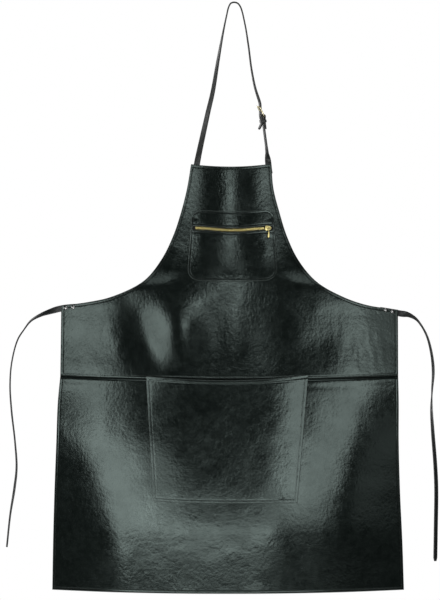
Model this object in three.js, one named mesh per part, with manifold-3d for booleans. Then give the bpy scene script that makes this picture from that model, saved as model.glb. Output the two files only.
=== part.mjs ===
// Leather apron: a bib and waist panel, a skirt panel, a zipped chest pocket, an open waist
// pocket, a buckled neck strap and two waist ties. It hangs from the peak of its neck strap.
// Millimetres, +Z up, +X to the viewer's right, the front faces -Y.
// The origin is the underside of the neck strap's peak, where a hook carries the apron.

import * as THREE from 'three';
import { mergeVertices } from 'three/addons/utils/BufferGeometryUtils.js';
import Module from 'manifold-3d';

// Leather, straps and clear gaps
const bodyLeather = 1.8;
const pocketLeather = 1.4;
const strapWidth = 12.5;
const strapLeather = 2.8;
const seat = 0.3;
const softSeat = 0.5;
const tieSeat = 0.9;

// Body outline. down is the distance below the strap's peak.
const bodyMiddle = -8;
const bibTopSag = 327;
const cornerRowSag = 640;
const seamSag = 753;
const hemSag = 1181;
const armholeRows = [
  { leftX: -86, leftDown: 322, rightX: 75, rightDown: 321 },
  { leftX: -94, leftDown: 370, rightX: 79, rightDown: 370 },
  { leftX: -106, leftDown: 418, rightX: 91, rightDown: 418 },
  { leftX: -122, leftDown: 466, rightX: 106, rightDown: 466 },
  { leftX: -146, leftDown: 514, rightX: 129, rightDown: 514 },
  { leftX: -181, leftDown: 556, rightX: 165, rightDown: 557 },
  { leftX: -244, leftDown: 587, rightX: 217, rightDown: 587 },
  { leftX: -292, leftDown: 598, rightX: 266, rightDown: 604 },
  { leftX: -346.5, leftDown: 605, rightX: 329, rightDown: 613.5 },
];
const skirtSideRows = [
  { down: 746, left: -348, right: 329 },
  { down: 800, left: -353, right: 330 },
  { down: 880, left: -356, right: 330 },
  { down: 980, left: -360, right: 333 },
  { down: 1080, left: -363, right: 338 },
  { down: 1176, left: -365, right: 341.5 },
];

// How the body hangs. forward is how far the middle stands in front of the hook's plane, flat is
// half the width of its level middle, and bow is how far the leather swings back 100 mm past that.
const drapeRows = [
  { down: 300, forward: -5, bow: 21.5, flat: 0 },
  { down: 400, forward: 2, bow: 19, flat: 0 },
  { down: 470, forward: 8, bow: 15.5, flat: 0 },
  { down: 530, forward: 13, bow: 10.5, flat: 0 },
  { down: 562, forward: 15.5, bow: 6.5, flat: 10 },
  { down: 590, forward: 17.6, bow: 5.9, flat: 20 },
  { down: 625, forward: 20, bow: 5.9, flat: 28 },
  { down: 680, forward: 24, bow: 5.95, flat: 38 },
  { down: 760, forward: 29, bow: 6.6, flat: 70 },
  { down: 860, forward: 33, bow: 7.2, flat: 78 },
  { down: 960, forward: 34.5, bow: 7.8, flat: 62 },
  { down: 1000, forward: 34, bow: 8, flat: 55 },
  { down: 1060, forward: 30.5, bow: 8.2, flat: 50 },
  { down: 1180, forward: 17, bow: 8.2, flat: 40 },
];
// Soft folds: a crest (or, below zero, a valley) from its top point to its low point.
const foldRows = [
  { topX: -223, topDown: 540, lowX: -136, lowDown: 800, halfWidth: 36, forward: -4.2 },
  { topX: -122, topDown: 540, lowX: -104, lowDown: 800, halfWidth: 44, forward: 4.6 },
  { topX: -180, topDown: 660, lowX: -190, lowDown: 1080, halfWidth: 56, forward: 2.4 },
  { topX: -300, topDown: 700, lowX: -200, lowDown: 1420, halfWidth: 62, forward: 4 },
  { topX: 262, topDown: 620, lowX: 190, lowDown: 1420, halfWidth: 56, forward: 3 },
  { topX: 215, topDown: 570, lowX: 150, lowDown: 760, halfWidth: 38, forward: -1.2 },
];

// Waist seam: both panels turn in, row by row away from the seam.
const seamGap = 0.4;
const waistSideHeight = 141;
const seamRows = [
  { fromSeam: 112, rollBack: 0 },
  { fromSeam: 84, rollBack: 0 },
  { fromSeam: 56, rollBack: 0 },
  { fromSeam: 28, rollBack: 0 },
  { fromSeam: 11, rollBack: 0 },
  { fromSeam: 4.5, rollBack: 0.5 },
  { fromSeam: 1.6, rollBack: 2.2 },
  { fromSeam: 0, rollBack: 4.5 },
];
const seamReach = 12;
const armholeSteps = 15;
const skirtSteps = 12;
const bodyColumns = 24;

// Chest pocket and its zip
const chest = { topLeft: -84, topRight: 79.5, lowLeft: -94, lowRight: 87, top: 413.5, low: 555, sag: 3 };
const chestCorner = { top: 16, low: 24, steps: 4, sideSteps: 9 };
const chestColumns = 14;
const chestLift = 1.4;
const chestEdgeRamp = 12;
const zip = { left: -80, right: 76, down: 450, sag: 4.5, slotHalf: 4.3, columns: 24 };
const zipTape = { past: 3, half: 8, wall: 0.7, coverFlat: 4, coverRamp: 10 };
const zipTeeth = {
  left: -77, right: 61.5, pitch: 2.5,
  half: 2.4, gapHalf: 1.6, back: 1.3, front: 3.6, gapFront: 3,
};
const slider = { x: 67.5, turn: 14, length: 13, height: 10.4, plateBack: 3.9, plateFront: 5.2 };
const sliderFlange = { inner: 3, outer: 3.9, length: 12 };
const bridge = { depth: 8, radius: 0.8, half: 4.2, post: 1.6, postHeight: 2.2 };
const pull = {
  eyeHole: 1.2, eyeOuter: 2.2, eyeWidth: 1.8,
  neck: 0.9, wide: 2.1, length: 20, wall: 1.1, neckTo: 8, wideAt: 14.4, tipFrom: 18,
};
// How far a joined piece of the slider stops short inside its neighbour
const embed = 0.25;

// Waist pocket
const waist = {
  topLeft: -176, topRight: 149, lowLeft: -161, lowRight: 126.5,
  leftDown: 746, rightDown: 743.5, mouthSag: 754, lowLeftDown: 995, lowRightDown: 999.5, lowSag: 1000,
};
// How far the middle of the pocket stands off the skirt, by its share of the way down
const bulgeRows = [
  { share: 0, off: 10 },
  { share: 0.25, off: 7 },
  { share: 0.5, off: 4.2 },
  { share: 0.75, off: 2.2 },
  { share: 1, off: 0 },
];
const waistColumns = 16;
const waistSteps = 10;

// Buckle, in its own frame: across the strap, out of the strap's face, and up the strap
const buckleBar = new THREE.Vector3(58.5, 14, -226);
const buckleUp = new THREE.Vector3(-0.114, -0.065, 0.991).normalize();
const buckleFacing = 16;
const buckle = { inside: 13.9, length: 20, reach: 7.2, metal: 2.4, chamfer: 0.5, corner: 4 };
const prong = { radius: 0.9, eyeHole: 1.65, eyeOuter: 2.4, eyeWidth: 2.4, past: 3.5, clear: 0.4 };
const strapEye = { hole: 1.75, slotHalf: 1.6, slotLow: 3, slotHigh: 7 };
const keeper = { low: 12.5, high: 7, wall: 1.2, back: 2.9, front: 6.2, half: 6.7 };

// Neck strap above the buckle. turn is the strap's roll: 0 shows its face to the front.
const neckRows = [
  { x: -51.5, down: 216, back: 11, turn: -48 },
  { x: -42.6, down: 178, back: 9, turn: -54 },
  { x: -31.5, down: 112, back: 6, turn: -68 },
  { x: -22.4, down: 62, back: 3, turn: -82 },
  { x: -15, down: 26, back: 1, turn: -89 },
  { x: -10.6, down: 8, back: 0, turn: -90 },
  { x: -6.3, down: 0.6, back: 0, turn: -90 },
  { x: 0, down: -1.4, back: 0, turn: -90 },
  { x: 7, down: 0.4, back: 0, turn: -90 },
  { x: 13, down: 8, back: 0, turn: -90 },
  { x: 21.5, down: 40, back: 2, turn: -91 },
  { x: 29, down: 86, back: 5, turn: -94 },
  { x: 35, down: 132, back: 8, turn: -96 },
  { x: 42.5, down: 170, back: 10, turn: -101 },
];
// The same strap through the buckle: out from the strap's face and up from the bar
const buckleRows = [
  { out: 3.9, up: 27 },
  { out: 4, up: 20 },
  { out: 4.7, up: 11 },
  { out: 5.7, up: 3 },
  { out: 5.6, up: -2 },
  { out: 4.6, up: -7 },
  { out: 4.5, up: -12 },
  { out: 7, up: -17.5 },
  { out: 12, up: -25 },
];
// Short strap: its folded eye round the bar, its doubled length, then one layer
const eyeRows = [
  { up: 3.9, wall: 3 },
  { up: 2.7, wall: 5.8 },
  { up: 0, wall: 7.8 },
  { up: -3.2, wall: 7 },
  { up: -7, wall: 5 },
  { up: -26, wall: 5 },
];
const shortRows = [
  { x: 63.4, down: 275, back: 17, turn: -106, wall: 5 },
  { x: 63.6, down: 277, back: 17.2, turn: -106, wall: 2.6 },
  { x: 66.4, down: 300, back: 20.6, turn: -116, wall: 2.6 },
  { x: 67.9, down: 313, back: 23, turn: -158, wall: 2.6 },
];
const buckleTurn = -106;
const neckSewn = {
  leftX: -78, leftTopX: -74.5, leftTop: 323,
  rightX: 71.5, rightTopX: 69.9, rightTop: 330, low: 341,
};
const neckLeave = { x: -70, down: 300, turn: -30 };

// Waist ties, from the sewn end behind the panel to the free end
const tieSewnLeft = [
  { x: -311, down: 607.5 },
  { x: -328, down: 608.6 },
  { x: -341, down: 610 },
  { x: -353, down: 612.4 },
];
const tieFreeLeft = [
  { x: -370, down: 617.4, back: 51, turn: 40 },
  { x: -388, down: 624, back: 55, turn: 64 },
  { x: -408, down: 636, back: 57, turn: 80 },
  { x: -422, down: 654, back: 58, turn: 88 },
  { x: -434.4, down: 674, back: 58, turn: 90 },
  { x: -446, down: 718, back: 57, turn: 88 },
  { x: -449.6, down: 764, back: 56, turn: 86 },
  { x: -446.6, down: 816, back: 55, turn: 84 },
  { x: -439.8, down: 876, back: 54, turn: 84 },
  { x: -436.4, down: 930, back: 54, turn: 80 },
  { x: -441, down: 974, back: 54, turn: 76 },
  { x: -449, down: 1024, back: 54, turn: 82 },
  { x: -456, down: 1090, back: 54, turn: 84 },
];
const tieSewnRight = [
  { x: 293, down: 614.2 },
  { x: 311, down: 617 },
  { x: 324, down: 619.4 },
  { x: 335, down: 621.3 },
];
const tieFreeRight = [
  { x: 349, down: 623.5, back: 45, turn: 44 },
  { x: 365, down: 632, back: 49, turn: 74 },
  { x: 376, down: 645, back: 51, turn: 84 },
  { x: 388, down: 668, back: 52, turn: 82 },
  { x: 397, down: 704, back: 51, turn: 76 },
  { x: 400, down: 738, back: 50, turn: 74 },
  { x: 397.5, down: 778, back: 49, turn: 88 },
  { x: 396.5, down: 812, back: 49, turn: 106 },
  { x: 399, down: 858, back: 49, turn: 117 },
  { x: 404, down: 924, back: 49, turn: 121 },
  { x: 406, down: 972, back: 49, turn: 123 },
  { x: 405, down: 1056, back: 48, turn: 123 },
  { x: 404, down: 1118, back: 48, turn: 122 },
];
const tipLength = 7;
const tipShare = 0.5;
const strapSteps = { long: 3, short: 2, tie: 2 };
const rodSides = 12;
const ringSides = 14;

// Rivets through the panel and the tie behind it
const rivetRows = [
  { name: 'rivet_left_outer', x: -337.5, down: 610 },
  { name: 'rivet_left_inner', x: -322.5, down: 608.4 },
  { name: 'rivet_right_inner', x: 304.5, down: 614 },
  { name: 'rivet_right_outer', x: 318, down: 617 },
];
const rivet = { cap: 4.2, rise: 2.2, post: 1.2, hole: 1.6, washer: 3.4, washerWall: 1, sides: 12 };
const rivetDome = [
  { out: 4.2, up: 0.45 },
  { out: 3.4, up: 1.45 },
  { out: 1.9, up: 2.03 },
];
const rivetStack = bodyLeather + tieSeat + strapLeather + seat;

const wasm = await Module();
wasm.setup();

// Value of a table's column at a place between its rows, on a smooth curve
function columnAt(rows, key, column, place) {
  const last = rows.length - 1;
  const held = THREE.MathUtils.clamp(place, rows[0][key], rows[last][key]);
  let i = 0;
  while (i < last - 1 && rows[i + 1][key] < held) {
    i += 1;
  }
  const slopeAt = (k) => {
    const before = rows[Math.max(k - 1, 0)];
    const after = rows[Math.min(k + 1, last)];
    return (after[column] - before[column]) / (after[key] - before[key]);
  };
  const gap = rows[i + 1][key] - rows[i][key];
  const t = (held - rows[i][key]) / gap;
  const start = rows[i][column] + gap * t * (1 - t) ** 2 * slopeAt(i);
  const rise = (rows[i + 1][column] - rows[i][column]) * t * t * (3 - 2 * t);
  return start + rise - gap * t * t * (1 - t) * slopeAt(i + 1);
}

function foldDepth(x, down) {
  let depth = 0;
  for (const fold of foldRows) {
    const t = (down - fold.topDown) / (fold.lowDown - fold.topDown);
    if (t <= 0 || t >= 1) continue;
    const away = (x - THREE.MathUtils.lerp(fold.topX, fold.lowX, t)) / fold.halfWidth;
    depth += fold.forward * Math.sin(Math.PI * t) ** 2 * Math.exp(-away * away);
  }
  return depth;
}

// Depth of the body's front face, smaller towards the viewer
function drape(x, z) {
  const past = Math.abs(x - bodyMiddle) - columnAt(drapeRows, 'down', 'flat', -z);
  const bow = columnAt(drapeRows, 'down', 'bow', -z) * (Math.max(past, 0) / 100) ** 2;
  return bow - columnAt(drapeRows, 'down', 'forward', -z) - foldDepth(x, -z);
}

const slopeStep = 2;
const slopeAcross = (x, z) => (drape(x + slopeStep, z) - drape(x - slopeStep, z)) / (2 * slopeStep);
const slopeUp = (x, z) => (drape(x, z + slopeStep) - drape(x, z - slopeStep)) / (2 * slopeStep);

function bareGeometry(geometry) {
  geometry.deleteAttribute('normal');
  geometry.deleteAttribute('uv');
  return mergeVertices(geometry);
}

// Closed wall from a grid: place(u, row, front) gives each corner, u from -1 to 1
function wallGeometry(columns, rows, place) {
  const geometry = new THREE.BoxGeometry(1, 1, 1, columns, rows, 1);
  const corners = geometry.attributes.position;
  for (let i = 0; i < corners.count; i += 1) {
    const row = Math.round((0.5 - corners.getY(i)) * rows);
    const point = place(2 * corners.getX(i), row, corners.getZ(i) > 0);
    corners.setXYZ(i, point.x, point.y, point.z);
  }
  return bareGeometry(geometry);
}

// One row of a body panel: straight across, with its middle sagging
function rowPoint(u, left, right, sag) {
  const end = u < 0 ? left : right;
  const x = THREE.MathUtils.lerp(left.x, right.x, (u + 1) / 2);
  const z = -sag + (end.z + sag) * u * u;
  return { x, z };
}

function bibGeometry() {
  const leftCurve = new THREE.CatmullRomCurve3(
    armholeRows.map((row) => new THREE.Vector3(row.leftX, 0, -row.leftDown)));
  const rightCurve = new THREE.CatmullRomCurve3(
    armholeRows.map((row) => new THREE.Vector3(row.rightX, 0, -row.rightDown)));
  const leftCorner = leftCurve.getPoint(1);
  const rightCorner = rightCurve.getPoint(1);
  const seamEnds = skirtSideRows[0];
  const leftSeam = new THREE.Vector3(seamEnds.left, 0, -seamEnds.down + seamGap / 2);
  const rightSeam = new THREE.Vector3(seamEnds.right, 0, -seamEnds.down + seamGap / 2);
  return wallGeometry(bodyColumns, armholeSteps + seamRows.length, (u, row, front) => {
    let point;
    let rollBack = 0;
    if (row <= armholeSteps) {
      const t = row / armholeSteps;
      const sag = THREE.MathUtils.lerp(bibTopSag, cornerRowSag, t);
      point = rowPoint(u, leftCurve.getPointAt(t), rightCurve.getPointAt(t), sag);
    } else {
      const seam = seamRows[row - armholeSteps - 1];
      const t = 1 - seam.fromSeam / waistSideHeight;
      const left = leftCorner.clone().lerp(leftSeam, t);
      const right = rightCorner.clone().lerp(rightSeam, t);
      point = rowPoint(u, left, right, THREE.MathUtils.lerp(cornerRowSag, seamSag - seamGap / 2, t));
      rollBack = seam.rollBack;
    }
    const y = drape(point.x, point.z) + rollBack + (front ? 0 : bodyLeather);
    return { x: point.x, y, z: point.z };
  });
}

function skirtGeometry() {
  const turnedRows = seamRows.filter((seam) => seam.fromSeam < seamReach).reverse();
  const last = skirtSideRows.length - 1;
  const top = skirtSideRows[0].down + seamGap / 2;
  const height = skirtSideRows[last].down - top;
  return wallGeometry(bodyColumns, turnedRows.length + skirtSteps - 1, (u, row, front) => {
    const seam = turnedRows[Math.min(row, turnedRows.length - 1)];
    const t = Math.max(row - turnedRows.length + 1, 0) / skirtSteps;
    const fromSeam = THREE.MathUtils.lerp(seam.fromSeam, height, t);
    const down = top + fromSeam;
    const left = { x: columnAt(skirtSideRows, 'down', 'left', down), z: -down };
    const right = { x: columnAt(skirtSideRows, 'down', 'right', down), z: -down };
    const sag = THREE.MathUtils.lerp(seamSag + seamGap / 2, hemSag, fromSeam / height);
    const point = rowPoint(u, left, right, sag);
    const rollBack = t > 0 ? 0 : seam.rollBack;
    const y = drape(point.x, point.z) + rollBack + (front ? 0 : bodyLeather);
    return { x: point.x, y, z: point.z };
  });
}

const zipLine = (x) => {
  const t = (x - zip.left) / (zip.right - zip.left);
  return -zip.down - zip.sag * 0.5 * (1 - Math.cos(2 * Math.PI * t));
};

// Chest patch: rows round the top corners, straight sides, rows round the low corners
function chestRowList() {
  const rows = [];
  const height = chest.low - chest.top;
  for (let i = 0; i <= chestCorner.steps; i += 1) {
    const angle = (i / chestCorner.steps) * Math.PI / 2;
    const from = chestCorner.top * (1 - Math.cos(angle));
    rows.push({ from, inset: chestCorner.top * (1 - Math.sin(angle)) });
  }
  const straight = height - chestCorner.top - chestCorner.low;
  for (let i = 1; i < chestCorner.sideSteps; i += 1) {
    rows.push({ from: chestCorner.top + (straight * i) / chestCorner.sideSteps, inset: 0 });
  }
  for (let i = chestCorner.steps; i >= 0; i -= 1) {
    const angle = (i / chestCorner.steps) * Math.PI / 2;
    const from = height - chestCorner.low * (1 - Math.cos(angle));
    rows.push({ from, inset: chestCorner.low * (1 - Math.sin(angle)) });
  }
  return rows;
}

function chestSheet() {
  const rows = chestRowList();
  const height = chest.low - chest.top;
  const smooth = THREE.MathUtils.smoothstep;
  const tapeFlat = zipTape.half + zipTape.coverFlat;
  return wallGeometry(chestColumns, rows.length - 1, (u, row, front) => {
    const { from, inset } = rows[row];
    const left = THREE.MathUtils.lerp(chest.topLeft, chest.lowLeft, from / height) + inset;
    const right = THREE.MathUtils.lerp(chest.topRight, chest.lowRight, from / height) - inset;
    const x = THREE.MathUtils.lerp(left, right, (u + 1) / 2);
    const z = -chest.top - from - chest.sag * (1 - u * u);
    const inside = Math.min(from, height - from, (1 - Math.abs(u)) * (right - left) / 2);
    const overTape = 1 - smooth(Math.abs(z - zipLine(x)), tapeFlat, tapeFlat + zipTape.coverRamp);
    const lifted = Math.max(smooth(inside, 0, chestEdgeRamp), overTape);
    const lift = THREE.MathUtils.lerp(softSeat, chestLift, lifted);
    return { x, y: drape(x, z) - lift - (front ? pocketLeather : 0), z };
  });
}

// Strip along the zip line, standing between two depths in front of the bib
function zipStrip(left, right, columns, shape) {
  return wallGeometry(columns, 1, (u, row, front) => {
    const x = THREE.MathUtils.lerp(left, right, (u + 1) / 2);
    const column = Math.round(((u + 1) / 2) * columns);
    const { half, back, ahead } = shape(column);
    const z = zipLine(x) + (row === 0 ? half : -half);
    return { x, y: drape(x, z) - (front ? ahead : back), z };
  });
}

function zipTeethGeometry() {
  const columns = Math.round((zipTeeth.right - zipTeeth.left) / zipTeeth.pitch) * 2;
  return zipStrip(zipTeeth.left, zipTeeth.right, columns, (column) => (column % 2
    ? { half: zipTeeth.half, back: zipTeeth.back, ahead: zipTeeth.front }
    : { half: zipTeeth.gapHalf, back: zipTeeth.back, ahead: zipTeeth.gapFront }));
}

function waistPocketGeometry() {
  return wallGeometry(waistColumns, waistSteps, (u, row, front) => {
    const v = row / waistSteps;
    const left = THREE.MathUtils.lerp(waist.topLeft, waist.lowLeft, v);
    const right = THREE.MathUtils.lerp(waist.topRight, waist.lowRight, v);
    const top = { left: waist.leftDown, right: waist.rightDown };
    const low = { left: waist.lowLeftDown, right: waist.lowRightDown };
    const side = u < 0 ? 'left' : 'right';
    const topDown = THREE.MathUtils.lerp(waist.mouthSag, top[side], u * u);
    const lowDown = THREE.MathUtils.lerp(waist.lowSag, low[side], u * u);
    const x = THREE.MathUtils.lerp(left, right, (u + 1) / 2);
    const z = -THREE.MathUtils.lerp(topDown, lowDown, v);
    const bulge = columnAt(bulgeRows, 'share', 'off', v) * (1 - Math.abs(u) ** 3);
    const y = drape(x, z) - softSeat - bulge - (front ? pocketLeather : 0);
    return { x, y, z };
  });
}

// Solids for cutting and joining
function solidOf(geometry) {
  const bare = geometry.attributes.normal ? bareGeometry(geometry) : geometry;
  return new wasm.Manifold(new wasm.Mesh({
    numProp: 3,
    vertProperties: new Float32Array(bare.attributes.position.array),
    triVerts: new Uint32Array(bare.index.array),
  }));
}

function geometryOf(solid) {
  const mesh = solid.getMesh();
  const geometry = new THREE.BufferGeometry();
  geometry.setAttribute('position', new THREE.BufferAttribute(mesh.vertProperties, 3));
  geometry.setIndex(new THREE.BufferAttribute(mesh.triVerts, 1));
  return geometry;
}

const joined = (geometries) => geometryOf(geometries.map(solidOf).reduce((a, b) => a.add(b)));
function cut(geometry, tools) {
  return geometryOf(tools.map(solidOf).reduce((a, b) => a.subtract(b), solidOf(geometry)));
}

// Flat strap along rows of x, down, back and turn, with its own wall at each row
function strapGeometry(rows, stepsPerRow, tips) {
  const curve = new THREE.CatmullRomCurve3(
    rows.map((row) => new THREE.Vector3(row.x, row.back, -row.down)));
  const spans = rows.length - 1;
  const steps = spans * stepsPerRow;
  const length = curve.getLength();
  const turns = rows.map((row, i) => ({ i, turn: row.turn }));
  const stations = [];
  for (let s = 0; s <= steps; s += 1) {
    const place = s / stepsPerRow;
    const i = Math.min(Math.floor(place), spans - 1);
    const along = curve.getTangent(s / steps);
    const flat = new THREE.Vector3(0, 1, 0).cross(along).normalize();
    const side = along.clone().cross(flat);
    const turn = THREE.MathUtils.degToRad(columnAt(turns, 'i', 'turn', place));
    const across = flat.multiplyScalar(Math.cos(turn)).addScaledVector(side, Math.sin(turn));
    const wall = THREE.MathUtils.lerp(rows[i].wall, rows[i + 1].wall, place - i);
    const out = along.clone().cross(across);
    stations.push({ point: curve.getPoint(s / steps), across, out, wall });
  }
  const geometry = new THREE.BoxGeometry(1, 1, 1, 1, 1, steps);
  const corners = geometry.attributes.position;
  for (let k = 0; k < corners.count; k += 1) {
    const s = Math.round((corners.getZ(k) + 0.5) * steps);
    const station = stations[s];
    const fromEnd = (1 - s / steps) * length;
    const tip = tips ? Math.min(fromEnd / tipLength, 1) : 1;
    const width = strapWidth * THREE.MathUtils.lerp(tipShare, 1, tip);
    const corner = station.point.clone()
      .addScaledVector(station.across, corners.getX(k) * width)
      .addScaledVector(station.out, corners.getY(k) * station.wall);
    corners.setXYZ(k, corner.x, corner.y, corner.z);
  }
  return bareGeometry(geometry);
}

// The buckle's own axes
const facing = THREE.MathUtils.degToRad(buckleFacing);
const buckleOut = new THREE.Vector3(-Math.cos(facing), -Math.sin(facing), 0);
buckleOut.addScaledVector(buckleUp, -buckleOut.dot(buckleUp)).normalize();
const buckleAcross = buckleOut.clone().cross(buckleUp);
const atBuckle = (out, up) => buckleBar.clone()
  .addScaledVector(buckleOut, out)
  .addScaledVector(buckleUp, up);
const buckleTilt = Math.atan2(buckle.reach, buckle.length);
const frameUp = buckleUp.clone().multiplyScalar(Math.cos(buckleTilt))
  .addScaledVector(buckleOut, Math.sin(buckleTilt));
const frameOut = buckleOut.clone().multiplyScalar(Math.cos(buckleTilt))
  .addScaledVector(buckleUp, -Math.sin(buckleTilt));
const frameLength = Math.hypot(buckle.reach, buckle.length);
const prongRest = buckle.metal / 2 + seat + prong.radius;
const prongEnd = frameUp.clone().multiplyScalar(frameLength).addScaledVector(frameOut, prongRest);
const prongUp = prongEnd.clone().normalize();

const rowAt = (point, turn, wall) => ({ x: point.x, down: -point.z, back: point.y, turn, wall });

// A strap lies behind the bib where it is sewn: its depth and turn follow the panel
function sewnRow(x, down, gap) {
  const back = drape(x, -down) + bodyLeather + gap + strapLeather / 2;
  return { x, down, back, slopeX: slopeAcross(x, -down), slopeZ: slopeUp(x, -down) };
}

function longStrapGeometry() {
  const sewn = [
    { x: neckSewn.leftX, down: neckSewn.low },
    { x: neckSewn.leftTopX, down: neckSewn.leftTop },
  ].map((end) => {
    const row = sewnRow(end.x, end.down, softSeat);
    return { ...row, turn: THREE.MathUtils.radToDeg(Math.atan(row.slopeX)), wall: strapLeather };
  });
  const leaving = { ...neckLeave, back: sewn[1].back, wall: strapLeather };
  const rising = neckRows.map((row) => ({ ...row, wall: strapLeather }));
  const through = buckleRows.map((row) => rowAt(atBuckle(row.out, row.up), buckleTurn, strapLeather));
  const strap = strapGeometry([...sewn, leaving, ...rising, ...through], strapSteps.long, true);
  const hole = rodGeometry(prong.radius + prong.clear, buckleBar, prongUp, 0, frameLength + prong.past);
  return cut(strap, [hole]);
}

function shortStrapGeometry() {
  const eye = eyeRows.map((row) => rowAt(atBuckle(0, row.up), buckleTurn, row.wall));
  const sewn = [
    { x: neckSewn.rightTopX, down: neckSewn.rightTop },
    { x: neckSewn.rightX, down: neckSewn.low },
  ].map((end) => {
    const row = sewnRow(end.x, end.down, softSeat);
    return { ...row, turn: -180 - THREE.MathUtils.radToDeg(Math.atan(row.slopeX)), wall: strapLeather };
  });
  const strap = strapGeometry([...eye, ...shortRows, ...sewn], strapSteps.short, false);
  const barHole = rodGeometry(strapEye.hole, buckleBar, buckleAcross, -strapWidth, strapWidth);
  const slotTall = strapEye.slotLow + strapEye.slotHigh;
  const slot = new THREE.BoxGeometry(2 * strapEye.slotHalf, 2 * strapWidth, slotTall);
  slot.translate(0, 0, (strapEye.slotHigh - strapEye.slotLow) / 2);
  slot.applyMatrix4(axesAt(buckleBar, buckleAcross, buckleOut, buckleUp));
  return cut(strap, [barHole, slot]);
}

function axesAt(point, x, y, z) {
  return new THREE.Matrix4().makeBasis(x, y, z).setPosition(point);
}

// Round rod along an axis, between two distances from a point
function rodGeometry(radius, point, axis, from, to) {
  const rod = new THREE.CylinderGeometry(radius, radius, to - from, rodSides);
  rod.translate(0, (from + to) / 2, 0);
  rod.applyQuaternion(new THREE.Quaternion().setFromUnitVectors(new THREE.Vector3(0, 1, 0), axis));
  return rod.translate(point.x, point.y, point.z);
}

function roundedRectangle(left, right, low, high, corner, PathType) {
  const path = new PathType();
  path.moveTo(left + corner, low);
  path.lineTo(right - corner, low);
  path.absarc(right - corner, low + corner, corner, -Math.PI / 2, 0);
  path.lineTo(right, high - corner);
  path.absarc(right - corner, high - corner, corner, 0, Math.PI / 2);
  path.lineTo(left + corner, high);
  path.absarc(left + corner, high - corner, corner, Math.PI / 2, Math.PI);
  path.lineTo(left, low + corner);
  path.absarc(left + corner, low + corner, corner, Math.PI, 1.5 * Math.PI);
  return path;
}

function buckleFrameGeometry() {
  const inside = buckle.inside / 2;
  const outside = inside + buckle.metal;
  const m = buckle.metal / 2;
  const innerCorner = buckle.corner - buckle.metal;
  const outer = roundedRectangle(-outside, outside, -m, frameLength + m, buckle.corner, THREE.Shape);
  outer.holes.push(roundedRectangle(-inside, inside, m, frameLength - m, innerCorner, THREE.Path));
  const geometry = new THREE.ExtrudeGeometry(outer, {
    depth: buckle.metal - 2 * buckle.chamfer,
    bevelEnabled: true,
    bevelThickness: buckle.chamfer,
    bevelSize: buckle.chamfer,
    bevelOffset: -buckle.chamfer,
    bevelSegments: 1,
    curveSegments: 4,
  });
  geometry.translate(0, 0, buckle.chamfer - m);
  return geometry.applyMatrix4(axesAt(buckleBar, buckleAcross, frameUp, frameOut.clone().negate()));
}

// Flat ring round a rod that lies along the ring's own Z
function ringGeometry(hole, outer, width) {
  const shape = new THREE.Shape().absarc(0, 0, outer, 0, 2 * Math.PI);
  shape.holes.push(new THREE.Path().absarc(0, 0, hole, 0, 2 * Math.PI, true));
  const settings = { depth: width, bevelEnabled: false, curveSegments: ringSides / 2 };
  return new THREE.ExtrudeGeometry(shape, settings).translate(0, 0, -width / 2);
}

function prongGeometry() {
  const eye = ringGeometry(prong.eyeHole, prong.eyeOuter, prong.eyeWidth);
  eye.applyMatrix4(axesAt(buckleBar, buckleOut, buckleUp, buckleOut.clone().cross(buckleUp)));
  const rod = rodGeometry(prong.radius, buckleBar, prongUp, prong.eyeHole + seat, frameLength + prong.past);
  return joined([eye, rod]);
}

function keeperGeometry() {
  const w = keeper.wall;
  const { half, back, front } = keeper;
  const outer = roundedRectangle(-half - w, half + w, -back - w, front + w, 1.5 * w, THREE.Shape);
  outer.holes.push(roundedRectangle(-half, half, -back, front, w / 2, THREE.Path));
  const depth = keeper.low - keeper.high;
  const loop = new THREE.ExtrudeGeometry(outer, { depth, bevelEnabled: false, curveSegments: 2 });
  loop.translate(0, 0, -keeper.low);
  return loop.applyMatrix4(axesAt(buckleBar, buckleAcross, buckleOut, buckleUp));
}

// Rivets stand square to the panel
function rivetAxis(place) {
  const z = -place.down;
  const point = new THREE.Vector3(place.x, drape(place.x, z), z);
  const out = new THREE.Vector3(slopeAcross(place.x, z), -1, slopeUp(place.x, z)).normalize();
  return { point, out };
}

function rivetGeometry(place) {
  const { point, out } = rivetAxis(place);
  const low = -rivetStack;
  const profile = [
    [0, low - rivet.washerWall],
    [rivet.washer, low - rivet.washerWall],
    [rivet.washer, low],
    [rivet.post, low],
    [rivet.post, seat],
    [rivet.cap, seat],
    ...rivetDome.map((ring) => [ring.out, seat + ring.up]),
    [0, seat + rivet.rise],
  ].map(([r, y]) => new THREE.Vector2(r, y));
  const geometry = new THREE.LatheGeometry(profile, rivet.sides);
  geometry.applyQuaternion(new THREE.Quaternion().setFromUnitVectors(new THREE.Vector3(0, 1, 0), out));
  return geometry.translate(point.x, point.y, point.z);
}

const rivetHoles = (side) => rivetRows.filter((row) => row.name.includes(side)).map((row) => {
  const { point, out } = rivetAxis(row);
  return rodGeometry(rivet.hole, point, out, -3 * rivetStack, 3 * rivetStack);
});

function tieGeometry(sewnRows, freeRows, side) {
  const sewn = sewnRows.map((place) => {
    const row = sewnRow(place.x, place.down, tieSeat);
    const lean = THREE.MathUtils.radToDeg(Math.atan(row.slopeZ));
    return { ...row, turn: side === 'left' ? lean : -lean };
  });
  const rows = [...sewn, ...freeRows].map((row) => ({ ...row, wall: strapLeather }));
  return cut(strapGeometry(rows, strapSteps.tie, true), rivetHoles(side));
}

// Slider on the teeth: a plate, a flange on each side of the chain, and a bridge for the pull
function sliderFrame() {
  const place = new THREE.Group();
  const z = zipLine(slider.x);
  place.position.set(slider.x, drape(slider.x, z), z);
  place.rotation.z = THREE.MathUtils.degToRad(slider.turn);
  return place;
}

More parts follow.
